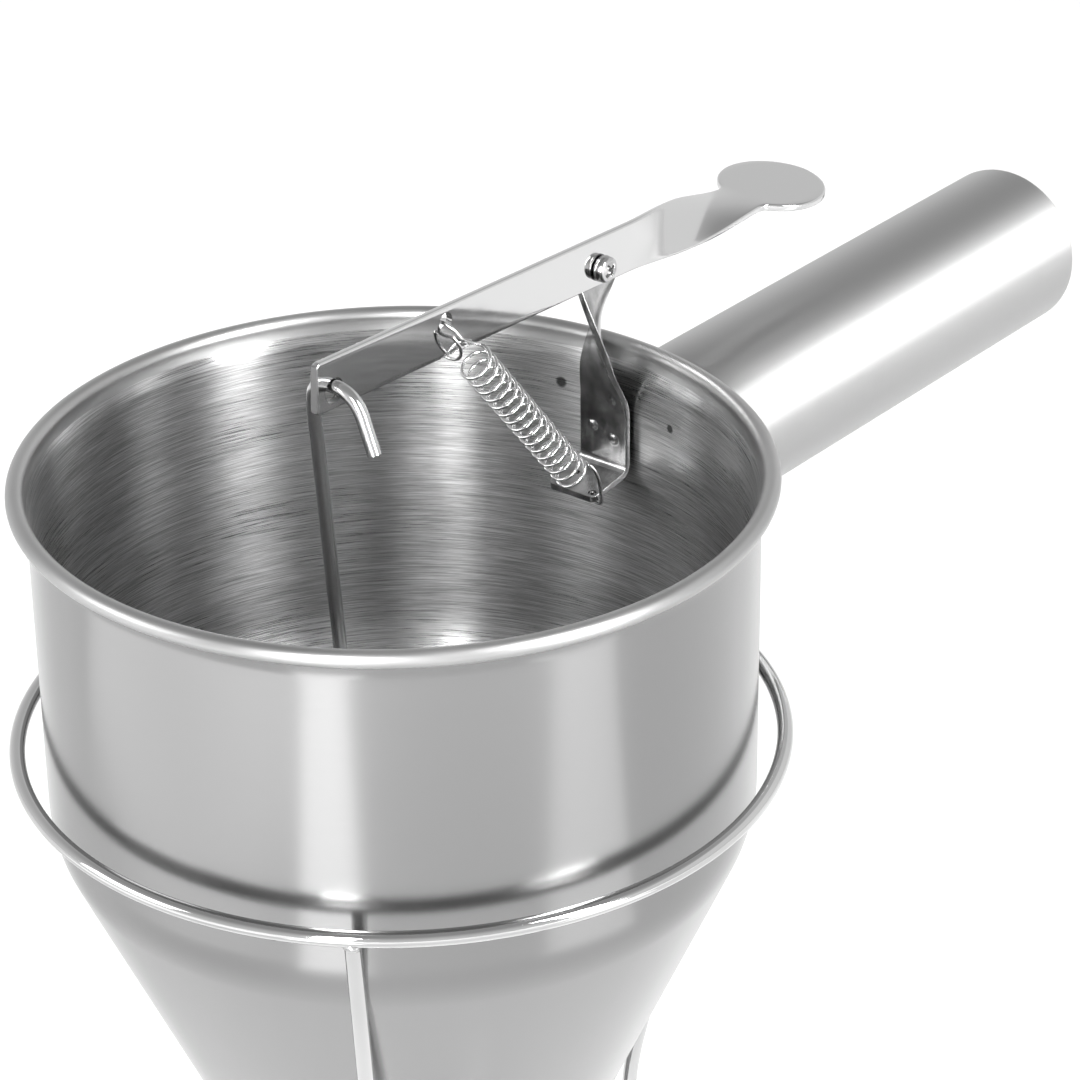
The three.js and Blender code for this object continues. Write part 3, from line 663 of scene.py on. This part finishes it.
reach = BRACKET_Y + BRACKET_W / 2
wall_inside = (BODY_R - SHEET) * math.cos(math.pi / 64) - GAP
BRACKET_X = math.sqrt(wall_inside**2 - reach**2) - BRACKET_T / 2
FOOT_Z = RIM_Z - FOOT_BELOW
FOOT_TIP = np.array([
    BRACKET_X - FOOT_L * math.cos(FOOT_DROP), BRACKET_Y, FOOT_Z - FOOT_L * math.sin(FOOT_DROP)
])


def on_foot(along, across):
    """A place on the foot, so far from its tip and so far across."""
    return FOOT_TIP + [along * math.cos(FOOT_DROP), across, along * math.sin(FOOT_DROP)]


HOOK_HOLE = on_foot(HOOK_INSET, HOOK_INSET - BRACKET_W / 2)


def bracket():
    """The strip along its middle line: the foot, its bend, the flat on the wall with three
    spot-weld dimples that rise by ease((r - d) / edge), a step inwards by ease(rise / height), a
    quarter turn that grows with a power of the rise, and the ear with its round top."""
    corner = np.array([BRACKET_X, BRACKET_Y, FOOT_Z])
    run = FOOT_BEND * math.tan((math.pi / 2 + FOOT_DROP) / 2)
    bend_in = on_foot(FOOT_L - run, 0)
    bend_out = corner + Z * run
    leave = np.array([BRACKET_X, BRACKET_Y, RIM_Z - LEAVE_BELOW])
    ear_centre = np.array([BRACKET_X - STEP_IN, BRACKET_Y, PIVOT_Z])
    half = BRACKET_W / 2
    foot = FOOT_TIP + np.linspace(0, 1, 16)[:, None] * (bend_in - FOOT_TIP)
    bend = bezier(bend_in, corner, bend_out, 14)[1:]
    flat = bend_out + np.linspace(0, 1, 60)[1:, None] * (leave - bend_out)
    low = np.concatenate([foot, bend, flat])
    low_across = np.broadcast_to(Y, low.shape)
    low_through = unit(np.cross(low_across, unit(np.gradient(low, axis=0))))
    inset = np.linalg.norm(low - FOOT_TIP, axis=1)
    tip_round, tip_rate = 1.2, 1.6
    low_half = half - np.maximum(tip_round - inset, 0) ** 2 / tip_rate
    t = np.linspace(0, 1, 60)[:, None]
    rise = t * (PIVOT_Z - EAR_BELOW - leave[2])
    angle = math.pi / 2 * t**TWIST_POWER
    twist = leave + rise * Z - STEP_IN * ease(rise / STEP_RISE) * X
    twist_across = Y * np.cos(angle) + X * np.sin(angle)
    twist_through = X * np.cos(angle) - Y * np.sin(angle)
    below = np.linspace(-EAR_BELOW, 0, 12)[1:]
    above = EAR_TOP * np.sin(np.linspace(0, 1, 18)[1:] * math.pi / 2)
    past = np.concatenate([below, above])
    ear = ear_centre + past[:, None] * Z
    ear_half = np.where(past > 0, np.sqrt(np.maximum(half**2 - past**2, 0)), half)
    middle = np.concatenate([low, twist[1:], ear])
    across = np.concatenate([low_across, twist_across[1:], np.broadcast_to(X, ear.shape)])
    through = np.concatenate([low_through, twist_through[1:], np.broadcast_to(-Y, ear.shape)])
    width = np.concatenate([low_half, np.full(59, half), ear_half])
    grid = ribbon(middle, across, through, width, BRACKET_T, flats=44)
    face = grid[..., 0] < BRACKET_X - BRACKET_T / 4
    dimples_from, dimples_to = FOOT_Z + 3, RIM_Z - LEAVE_BELOW + 5
    on_flat = face & (grid[..., 2] > dimples_from) & (grid[..., 2] < dimples_to)
    dimple_r, dimple_edge, dimple_rise = 1.4, 0.8, 0.28
    for y, z in ((-0.6, -11.0), (4.9, -18.9), (-0.9, -20.8)):
        away = np.hypot(grid[..., 1] - y, grid[..., 2] - RIM_Z - z)
        bump = dimple_rise * ease((dimple_r - away) / dimple_edge)
        grid[..., 0] -= np.where(on_flat, bump, 0)
    made = skin("pivot_bracket", grid, "funnel", [bracket_steel])
    plate = np.array([-math.sin(FOOT_DROP), 0, math.cos(FOOT_DROP)])
    drilled(
        made,
        (PIVOT + Y * BRACKET_Y, Y, SCREW_R + GAP, 4),
        (HOOK_HOLE, plate, HOOK_HOLE_R, 4),
        (on_foot(SPARE_ALONG, SPARE_ACROSS), plate, SPARE_R, 4),
    )
    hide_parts("pivot_bracket")


WASHER_Y = -STRIP_T / 2 - GAP
HEAD_Y = WASHER_Y - WASHER_T
NUT_Y = BRACKET_Y + BRACKET_T / 2 + GAP
SCREW_END = NUT_Y + NUT_H + SCREW_TAIL


def screw():
    """The pan head is a dome with a crossed recess, a height over (radius, angle); the shank has
    a thread, its radius waving with height / pitch - angle / turn."""
    rounding, dome, rings, turns = 0.9, 0.35, 34, 90
    cross_half, cross_edge, cross_reach, cross_fade, cross_deep = 0.5, 0.14, 1.75, 0.3, 1.3
    thread_pitch, thread_deep, plain_shank = 0.5, 0.16, 2.8
    flat = HEAD_R - rounding
    profile = np.concatenate([
        np.stack([np.linspace(0, flat, rings), np.full(rings, -HEAD_H)], 1),
        arc(flat, -HEAD_H + rounding, rounding, -math.pi / 2, 0, 14)[1:],
        [[HEAD_R, 0], [SCREW_R, 0]],
    ])
    profile[:rings, 1] += dome * (profile[:rings, 0] / flat) ** 2 - dome
    shank = np.linspace(0, SCREW_END - HEAD_Y, turns)
    straight = np.stack([np.full(turns, SCREW_R), shank], 1)[1:]
    profile = np.concatenate([profile, straight, [[0, shank[-1]]]])
    cross_turn, segments = 0.63, 72
    side = unit([math.cos(cross_turn), 0, math.sin(cross_turn)])
    grid = lathe(profile, segments, PIVOT + Y * HEAD_Y, Y, side)
    a = np.arange(segments) * TURN / segments
    u, v = profile[:rings, :1] * np.cos(a), profile[:rings, :1] * np.sin(a)
    narrow, wide = np.minimum(abs(u), abs(v)), np.maximum(abs(u), abs(v))
    cut = ease((cross_half - narrow) / cross_edge) * ease((cross_reach - wide) / cross_fade)
    grid[:rings, :, 1] += cross_deep * cut * (1 - 0.3 * wide / cross_reach)
    rows = slice(len(profile) - turns, len(profile) - 1)
    wave = np.abs(((shank[1:, None] / thread_pitch - a / TURN) % 1) * 2 - 1)
    spoke = grid[rows] - (PIVOT + Y * (HEAD_Y + shank[1:, None, None]))
    threaded = (shank[1:, None] > plain_shank) & (shank[1:, None] < shank[-1] - 0.2)
    grid[rows] -= spoke * np.where(threaded, thread_deep * wave, 0)[..., None]
    made = skin("pivot_screw", grid, "funnel", [screw_steel])
    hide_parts("pivot_screw")


def washer_and_nut():
    """The split washer is a squared section carried round nearly a full turn, and rises a little
    on its way. The nut's outline is flats / 2 / cos(b mod 60 - 30), cut back at its corners."""
    split, stations, rise_all, ring_r, ring_w = 7 * DEG, 90, 0.16, 2.4, 1.2
    a = np.linspace(split, TURN - split, stations)
    spoke = np.cos(a)[:, None] * X + np.sin(a)[:, None] * Z
    rise = (a / TURN - 0.5) * rise_all
    middle = PIVOT + Y * (WASHER_Y - WASHER_T / 2) + spoke * ring_r + rise[:, None] * Y
    along = np.broadcast_to(Y, middle.shape)
    half = np.full(stations, (WASHER_T - rise_all) / 2)
    grid = ribbon(middle, along, spoke, half, ring_w, corner=0.14, flats=2)
    made = skin("spring_washer", grid, "funnel", [screw_steel])
    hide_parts("spring_washer")
    b = np.arange(144) * TURN / 144
    hexagon = NUT_FLATS / 2 / np.cos((b % (math.pi / 3)) - math.pi / 6)
    bore = SCREW_R + 0.08
    heights = [0.25, 0, 0, 0.16, 0.3, NUT_H / 2, NUT_H - 0.3, NUT_H - 0.16, NUT_H, NUT_H, NUT_H - 0.25]
    reaches = [bore, bore + 0.2, 2.6, 2.86, 9, 9, 9, 2.86, 2.6, bore + 0.2, bore]
    radius = np.minimum(hexagon, np.array(reaches)[:, None])
    round_spoke = np.cos(b)[:, None] * X + np.sin(b)[:, None] * Z
    rows = PIVOT + Y * (NUT_Y + np.array(heights)[:, None, None]) + radius[..., None] * round_spoke
    made = skin("pivot_nut", rows, "funnel", [screw_steel], (True, True), None, 24)
    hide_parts("pivot_nut")


# Lever


ROD_PIN = on_lever(ROD_HOLE_INSET - LEVER_INNER, ROD_HOLE_RISE + ROD_HOLE_R - ROD_R - GAP)
SPRING_PIN = on_lever(-SPRING_HOLE_X, SPRING_HOLE_RISE)


def lever():
    """The strip stands on edge, turns by ease(t) times its twist and ends in the thumb disc, its
    half width sqrt(R^2 - x^2) there, with a hollow round of radius 4 where strip and disc join."""
    widening, end_round, end_rate = 0.2, 0.9, 0.8
    neck, fillet = LEVER_W / 2 + widening, 4.0
    fillet_x = DISC_X - math.sqrt((DISC_R + fillet) ** 2 - (neck + fillet) ** 2)
    touch_x = fillet_x + fillet * (DISC_X - fillet_x) / (DISC_R + fillet)
    a = np.linspace(math.acos((touch_x - DISC_X) / DISC_R), 0.02, 70)
    x = np.concatenate([
        -LEVER_INNER + np.linspace(0, 1.2, 6),
        np.linspace(-LEVER_INNER + 1.6, TWIST_START, 60),
        np.linspace(TWIST_START, fillet_x, 90)[1:],
        np.linspace(fillet_x, touch_x, 14)[1:],
        DISC_X + DISC_R * np.cos(a[1:]),
    ])
    half = np.full(len(x), LEVER_W / 2)
    half += widening * ease((x - TWIST_START) / TWIST_LENGTH)
    half -= np.maximum(end_round - (x + LEVER_INNER), 0) * end_rate
    hollow = (x > fillet_x) & (x <= touch_x)
    half[hollow] = neck + fillet - np.sqrt(fillet**2 - (x[hollow] - fillet_x) ** 2)
    disc = x > touch_x
    half[disc] = np.sqrt(DISC_R**2 - (x[disc] - DISC_X) ** 2)
    share = ease((x - TWIST_START) / TWIST_LENGTH)
    turn = LEVER_TWIST * share[:, None]
    c, s = math.cos(LEVER_SLOPE), math.sin(LEVER_SLOPE)
    out, up = np.array([c, 0, -s]), np.array([s, 0, c])
    middle = on_lever(0, 0) + x[:, None] * out - NECK_DROP * share[:, None] * up
    across = up * np.cos(turn) + Y * np.sin(turn)
    through = Y * np.cos(turn) - up * np.sin(turn)
    grid = ribbon(middle, across, through, half, STRIP_T, corner=0.5, flats=14)
    made = skin("thumb_lever", grid, "lever", [strip_steel])
    drilled(
        made,
        (PIVOT, Y, SCREW_R + GAP, 4),
        (ROD_HOLE, Y, ROD_HOLE_R, 4),
        (SPRING_PIN, Y, SPRING_HOLE_R, 4),
    )
    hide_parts("thumb_lever")


# Valve

seat = math.atan((SPOUT_R - NOZZLE_R) / SPOUT_TAPER)
PLUG = np.array([
    0, 0,
    TABLE_GAP + NOZZLE_L + (PLUG_R + GAP - (NOZZLE_R - SHEET) * math.cos(seat)) / math.sin(seat),
])
ROD_CORNER = np.array([ROD_PIN[0], ROD_BEHIND, ROD_PIN[2]])
ROD_UP = unit(ROD_CORNER - PLUG)


def rod():
    """The wire from the plug up behind the lever, round through its hole and down in a hook."""
    foot = PLUG + ROD_UP * (COLLAR_TOP - SOCKET_DEPTH + GAP)
    near = -Y
    down = np.array([0, -math.sin(ROD_HOOK_LEAN), -math.cos(ROD_HOOK_LEAN)])
    front = np.array([ROD_PIN[0], -ROD_FRONT, ROD_PIN[2]])
    back = bezier(ROD_CORNER - ROD_UP * ROD_BACK_DROP, ROD_CORNER, ROD_CORNER + near * ROD_BACK_BEND, 20)
    fore = bezier(front - near * ROD_FRONT_BEND, front, front + down * ROD_FRONT_BEND, 20)
    leg = foot + np.linspace(0, 1, 40)[:-1, None] * (back[0] - foot)
    tail = fore[-1] + np.linspace(0, 1, 12)[1:, None] * (front + down * ROD_HOOK_L - fore[-1])
    path = np.concatenate([leg, back, fore, tail])
    made = skin("valve_rod", tube(path, ROD_R, WIRE_SIDES, X), "rod", [rod_steel])
    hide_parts("valve_rod")


def plug():
    """The ball and collar, turned about the rod's line, with the rod's socket on top."""
    bore, lip = ROD_R + 0.12, 0.35
    low = math.acos(COLLAR_R / PLUG_R)
    ball = arc(0, 0, PLUG_R, -math.pi / 2, low - 0.06, 48)
    ball[0, 0] = 0
    neck_z = PLUG_R * math.sin(low)
    neck = bezier(ball[-1], np.array([COLLAR_R, neck_z]), np.array([COLLAR_R, neck_z + 0.6]), 6)
    profile = np.concatenate([
        ball, neck,
        arc(COLLAR_R - lip, COLLAR_TOP - lip, lip, 0, math.pi / 2, 6),
        [[bore, COLLAR_TOP], [bore, COLLAR_TOP - SOCKET_DEPTH], [0, COLLAR_TOP - SOCKET_DEPTH]],
    ])
    side = unit(np.cross(ROD_UP, Y))
    grid = lathe(profile, SMALL_SIDES, PLUG, ROD_UP, side)
    made = skin("valve_plug", grid, "rod", [turned_steel])
    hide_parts("valve_plug")


# Return spring


def spring():
    """One wire: a loop r (cos a, sin a) through the lever's hole that steps a little sideways, a
    link, the coil r (cos a, sin a) climbing a pitch each turn, a link and the foot's hook."""
    near = -Y
    axis_y = -(SPRING_REACH - COIL_R)
    top = np.array([SPRING_PIN[0], axis_y, SPRING_PIN[2] - COIL_AIM])
    foot = np.array([HOOK_HOLE[0], axis_y, HOOK_HOLE[2]])
    along = unit(foot - top)
    above = np.array([-along[2], 0, along[0]])
    start = np.linalg.norm(foot - top) - COIL_FOOT_GAP - COIL_TURNS * COIL_PITCH
    down = np.array([math.sin(LOOP_TILT), 0, -math.cos(LOOP_TILT)])
    aside = np.cross(down, near)
    share = np.linspace(1, 0, 72)[:, None]
    angle = LOOP_START + (LOOP_END - LOOP_START) * share
    centre = SPRING_PIN + [-LOOP_INSET, LOOP_BEHIND, -LOOP_DROP] + down * LOOP_R
    loop = centre - down * LOOP_R * np.cos(angle) + near * LOOP_R * np.sin(angle)
    loop = loop + aside * LOOP_STEP * (share - 0.5)
    a = np.linspace(0, TURN * COIL_TURNS, COIL_TURNS * 44 + 1)[:, None]
    coil = top + along * (start + COIL_PITCH * a / TURN) + COIL_R * (above * np.cos(a) + near * np.sin(a))
    plate = np.array([-math.sin(FOOT_DROP), 0, math.cos(FOOT_DROP)])
    hook_centre = HOOK_HOLE + near * HOOK_R - plate * HOOK_DROP
    b = np.linspace(0, math.pi, 20)[:, None]
    hook = hook_centre + near * HOOK_R * np.cos(b) - plate * HOOK_R * np.sin(b)
    end = hook[-1] + plate * np.linspace(0, HOOK_TIP, 6)[1:, None]
    first = link(loop[-1], unit(loop[-1] - loop[-2]), coil[0], near, 20, LINK_REACH)
    second = link(coil[-1], near, hook[0], -plate, 26, COIL_FOOT_GAP / 2)
    path = np.concatenate([loop, first, coil, second, hook, end])
    wire = tube(path, SPRING_WIRE / 2, FINE_SIDES, along)
    made = skin("return_spring", wire, None, [spring_steel])
    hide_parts("return_spring")
    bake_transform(made)


# Stand

shoulder_out = RING_R - (BODY_R - SHOULDER_R)
shoulder_down = RING_Z - SEAM_Z
carry = math.acos((SHOULDER_R + GAP + WIRE_R) / math.hypot(shoulder_out, shoulder_down))
LEG_LEAN = math.tan(carry - math.atan2(shoulder_down, shoulder_out))


def blob(name, centre, axis, side, sizes, seed):
    """A small weld: an ellipsoid whose radius waves by low harmonics of both its angles."""
    u = np.linspace(0, math.pi, 25)[:, None]
    v = np.arange(40)[None] * TURN / 40
    slow = 0.09 * np.sin(3 * u + seed) * np.cos(2 * v + 2 * seed)
    quick = 0.05 * np.sin(5 * u) * np.cos(5 * v + seed)
    wave = 1 + slow + quick
    other = np.cross(axis, side)
    a, b, c = sizes
    grid = (
        np.asarray(centre)
        + (a * wave * np.cos(u))[..., None] * axis
        + (b * wave * np.sin(u) * np.cos(v))[..., None] * side
        + (c * wave * np.sin(u) * np.sin(v))[..., None] * other
    )
    skin(name, grid, "stand", [weld_steel])


def stand():
    """Two rings of round wire, the lower one pressed flat a little where it stands, and three
    legs that lean in to their waists and out again, welded under and over the rings."""
    for name, node, radius, z in (
        ("stand_ring", "stand_top_ring", RING_R, RING_Z),
        ("base_ring", "stand_base_ring", BASE_R, BASE_Z),
    ):
        section = arc(radius, z, WIRE_R, 0, TURN, 32)[:-1]
        if node == "stand_base_ring":
            section[:, 1] = np.maximum(section[:, 1], 0)
        grid = lathe(section, RING_SIDES)
        made = skin(name, grid, "stand", [wire_steel], (True, True), None, 60)
        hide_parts(node)
    for leg in range(LEGS):
        angle = FRONT_LEG + TURN * leg / LEGS
        out = np.array([math.cos(angle), math.sin(angle), 0])
        side = np.cross(Z, out)
        end = BASE_Z + GAP
        top = out * (RING_R - LEG_LEAN * end) + Z * (RING_Z - end)
        waist = out * (RING_R - LEG_LEAN * LEG_WAIST) + Z * (RING_Z - LEG_WAIST)
        foot = out * BASE_R + Z * (BASE_Z + end)
        up, down = unit(top - waist), unit(foot - waist)
        turn = bezier(waist + up * WAIST_BEND, waist, waist + down * WAIST_BEND, 30)
        high = top + np.linspace(0, 1, 24)[:-1, None] * (turn[0] - top)
        low = turn[-1] + np.linspace(0, 1, 24)[1:, None] * (foot - turn[-1])
        path = np.concatenate([high, turn, low])
        wire = tube(path, WIRE_R, WIRE_SIDES, side)
        made = skin(f"leg_{leg + 1}", wire, "stand", [wire_steel])
        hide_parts(f"stand_leg_{leg + 1}")
        blob(f"top_weld_{leg + 1}", top + Z * 0.5 + out * 0.1, up, side, (1.9, 2.05, 1.9), leg)
        blob(f"foot_weld_{leg + 1}", foot - Z * 0.5, down, side, (1.7, 2.0, 1.9), leg + 4)


funnel_wall()
funnel_cone()
spout()
handle()
bracket()
screw()
washer_and_nut()
lever()
rod()
plug()
spring()
stand()


# Studio

CAMERA_SIDE = -138.5


def floor():
    """A wide pale disc under the stand, matt, and luminous behind the stand and far out as the
    rise of a lit sweep is, with some light under the stand too."""
    behind_glow, far_glow, foot_glow = 0.46, 0.54, 0.42
    profile = [(0, 0), (400, 0), (1500, 0), (6000, 0)]
    grid = lathe(profile, SMALL_SIDES, (0, 0, -0.05))
    made = skin("floor", grid, None, [])
    finish = Finish("pale_floor")
    finish.shader.inputs["Base Color"].default_value = (0.5, 0.5, 0.5, 1)
    finish.shader.inputs["Roughness"].default_value = 0.9
    finish.shader.inputs["Emission Color"].default_value = (1, 1, 1, 1)
    behind = finish.node("ShaderNodeVectorMath", operation="DOT_PRODUCT")
    finish.join(finish.place, behind.inputs[0])
    behind.inputs[1].default_value = (-math.cos(CAMERA_SIDE * DEG), -math.sin(CAMERA_SIDE * DEG), 0)
    away = finish.node("ShaderNodeVectorMath", operation="LENGTH")
    finish.join(finish.place, away.inputs[0])
    near = finish.mapped(behind.outputs["Value"], -0.24, 0.18, 0, behind_glow)
    far = finish.mapped(away.outputs["Value"], 0.65, 1.6, 0, far_glow)
    foot = finish.node("ShaderNodeVectorMath", operation="DISTANCE")
    finish.join(finish.place, foot.inputs[0])
    foot.inputs[1].default_value = (SHIFT * MM, 0, 0)
    under = finish.mapped(foot.outputs["Value"], 0.08, 0.24, foot_glow, 0)
    lit = finish.maths("ADD", finish.maths("MAXIMUM", near, far), under)
    finish.join(lit, finish.shader.inputs["Emission Strength"])
    made.data.materials.append(finish.material)


def sky():
    """Soft light from all round: white at the horizon, greyer overhead, and one wide white screen
    on the handle's right, a circle of directions with a soft edge."""
    screen_rise, screen_reach, soft = -29 * DEG, 68.5 * DEG, 1 * DEG
    world = bpy.data.worlds.new("soft_sky")
    world.use_nodes = True
    bpy.context.scene.world = world
    tree = world.node_tree
    place = tree.nodes.new("ShaderNodeTexCoord")
    split = tree.nodes.new("ShaderNodeSeparateXYZ")
    ramp = tree.nodes.new("ShaderNodeValToRGB")
    tree.links.new(place.outputs["Generated"], split.inputs[0])
    tree.links.new(split.outputs["Z"], ramp.inputs[0])
    aim = tree.nodes.new("ShaderNodeVectorMath")
    aim.operation = "DOT_PRODUCT"
    side, level = (CAMERA_SIDE + 111) * DEG, math.cos(screen_rise)
    towards = (level * math.cos(side), level * math.sin(side), math.sin(screen_rise))
    aim.inputs[1].default_value = towards
    edge = tree.nodes.new("ShaderNodeMapRange")
    edge.inputs["From Min"].default_value = math.cos(screen_reach + soft)
    edge.inputs["From Max"].default_value = math.cos(screen_reach - soft)
    screen = tree.nodes.new("ShaderNodeMix")
    screen.data_type = "RGBA"
    screen.inputs["B"].default_value = (1, 1, 1, 1)
    tree.links.new(place.outputs["Generated"], aim.inputs[0])
    tree.links.new(aim.outputs["Value"], edge.inputs["Value"])
    tree.links.new(edge.outputs["Result"], screen.inputs["Factor"])
    tree.links.new(ramp.outputs[0], screen.inputs["A"])
    tree.links.new(screen.outputs["Result"], tree.nodes["Background"].inputs[0])
    stops = ramp.color_ramp.elements
    stops[0].position, stops[0].color = 0.0, (1, 1, 1, 1)
    stops[1].position, stops[1].color = 0.8, (0.44, 0.44, 0.44, 1)
    middle = stops.new(0.5)
    middle.color = (0.74, 0.74, 0.74, 1)


def panel(name, azimuth, height, distance, width, tall, power):
    """An upright soft panel on the azimuth, facing the funnel."""
    light = bpy.data.lights.new(name, "AREA")
    light.shape, light.size, light.size_y, light.energy = "RECTANGLE", width, tall, power
    obj = bpy.data.objects.new(name, light)
    bpy.context.scene.collection.objects.link(obj)
    a = azimuth * DEG
    obj.location = (SHIFT * MM + distance * math.cos(a), distance * math.sin(a), height)
    aim = Vector((SHIFT * MM, 0, RIM_Z * MM)) - obj.location
    obj.rotation_euler = aim.to_track_quat("-Z", "Y").to_euler()


def glow(name, azimuth, distance, width, length, radiance):
    """A low light strip lying on the sweep, out of the picture, with its length towards the
    stand. It shines upwards."""
    light = bpy.data.lights.new(name, "AREA")
    light.shape, light.size, light.size_y = "RECTANGLE", length, width
    light.energy = radiance * math.pi * length * width
    obj = bpy.data.objects.new(name, light)
    bpy.context.scene.collection.objects.link(obj)
    a = azimuth * DEG
    obj.location = (SHIFT * MM + distance * math.cos(a), distance * math.sin(a), 0.002)
    obj.rotation_euler = (math.pi, 0, a)


def camera():
    """The photograph's view: from its side and height, turned a little off the rim's middle."""
    cam = bpy.data.cameras.new("camera")
    cam.sensor_width, cam.lens = 36.0, 127.66
    cam.clip_start, cam.clip_end = 0.05, 50
    obj = bpy.data.objects.new("camera", cam)
    bpy.context.scene.collection.objects.link(obj)
    side, rise = CAMERA_SIDE * DEG, 26.914 * DEG
    pan, tilt, roll = 0.0375, -0.0190, -0.0120
    distance, level = 10.4212 * BODY_R, math.cos(rise)
    back = np.array([level * math.cos(side), level * math.sin(side), math.sin(rise)])
    ahead = -back
    right = unit(np.cross(ahead, Z))
    up = np.cross(right, ahead)
    ahead = math.cos(pan) * ahead + math.sin(pan) * right
    ahead = math.cos(tilt) * ahead + math.sin(tilt) * up
    right = unit(np.cross(ahead, Z))
    up = np.cross(right, ahead)
    turned = math.cos(roll) * right + math.sin(roll) * up
    up = math.cos(roll) * up - math.sin(roll) * right
    place = (np.array([SHIFT, 0, RIM_Z]) + back * distance) * MM
    world = np.eye(4)
    world[:3, 0], world[:3, 1], world[:3, 2], world[:3, 3] = turned, up, -ahead, place
    obj.matrix_world = Matrix(world)
    bpy.context.scene.camera = obj


floor()
sky()
panel("left_panel", CAMERA_SIDE - 20, height=0.8, distance=1.6, width=0.28, tall=1.3, power=48)
panel("right_panel", CAMERA_SIDE + 50, height=0.95, distance=1.6, width=0.42, tall=1.7, power=55)
panel("far_left_panel", CAMERA_SIDE - 80, height=0.7, distance=1.7, width=1.0, tall=0.9, power=10)
glow("left_glow", CAMERA_SIDE - 21.7, distance=0.55, width=0.12, length=0.5, radiance=1.5)
glow("right_glow", CAMERA_SIDE + 54.5, distance=0.55, width=0.18, length=0.5, radiance=0.7)
glow("broad_glow", CAMERA_SIDE - 66, distance=0.6, width=0.62, length=0.5, radiance=0.75)
camera()
bpy.context.scene.view_settings.view_transform = "Standard"
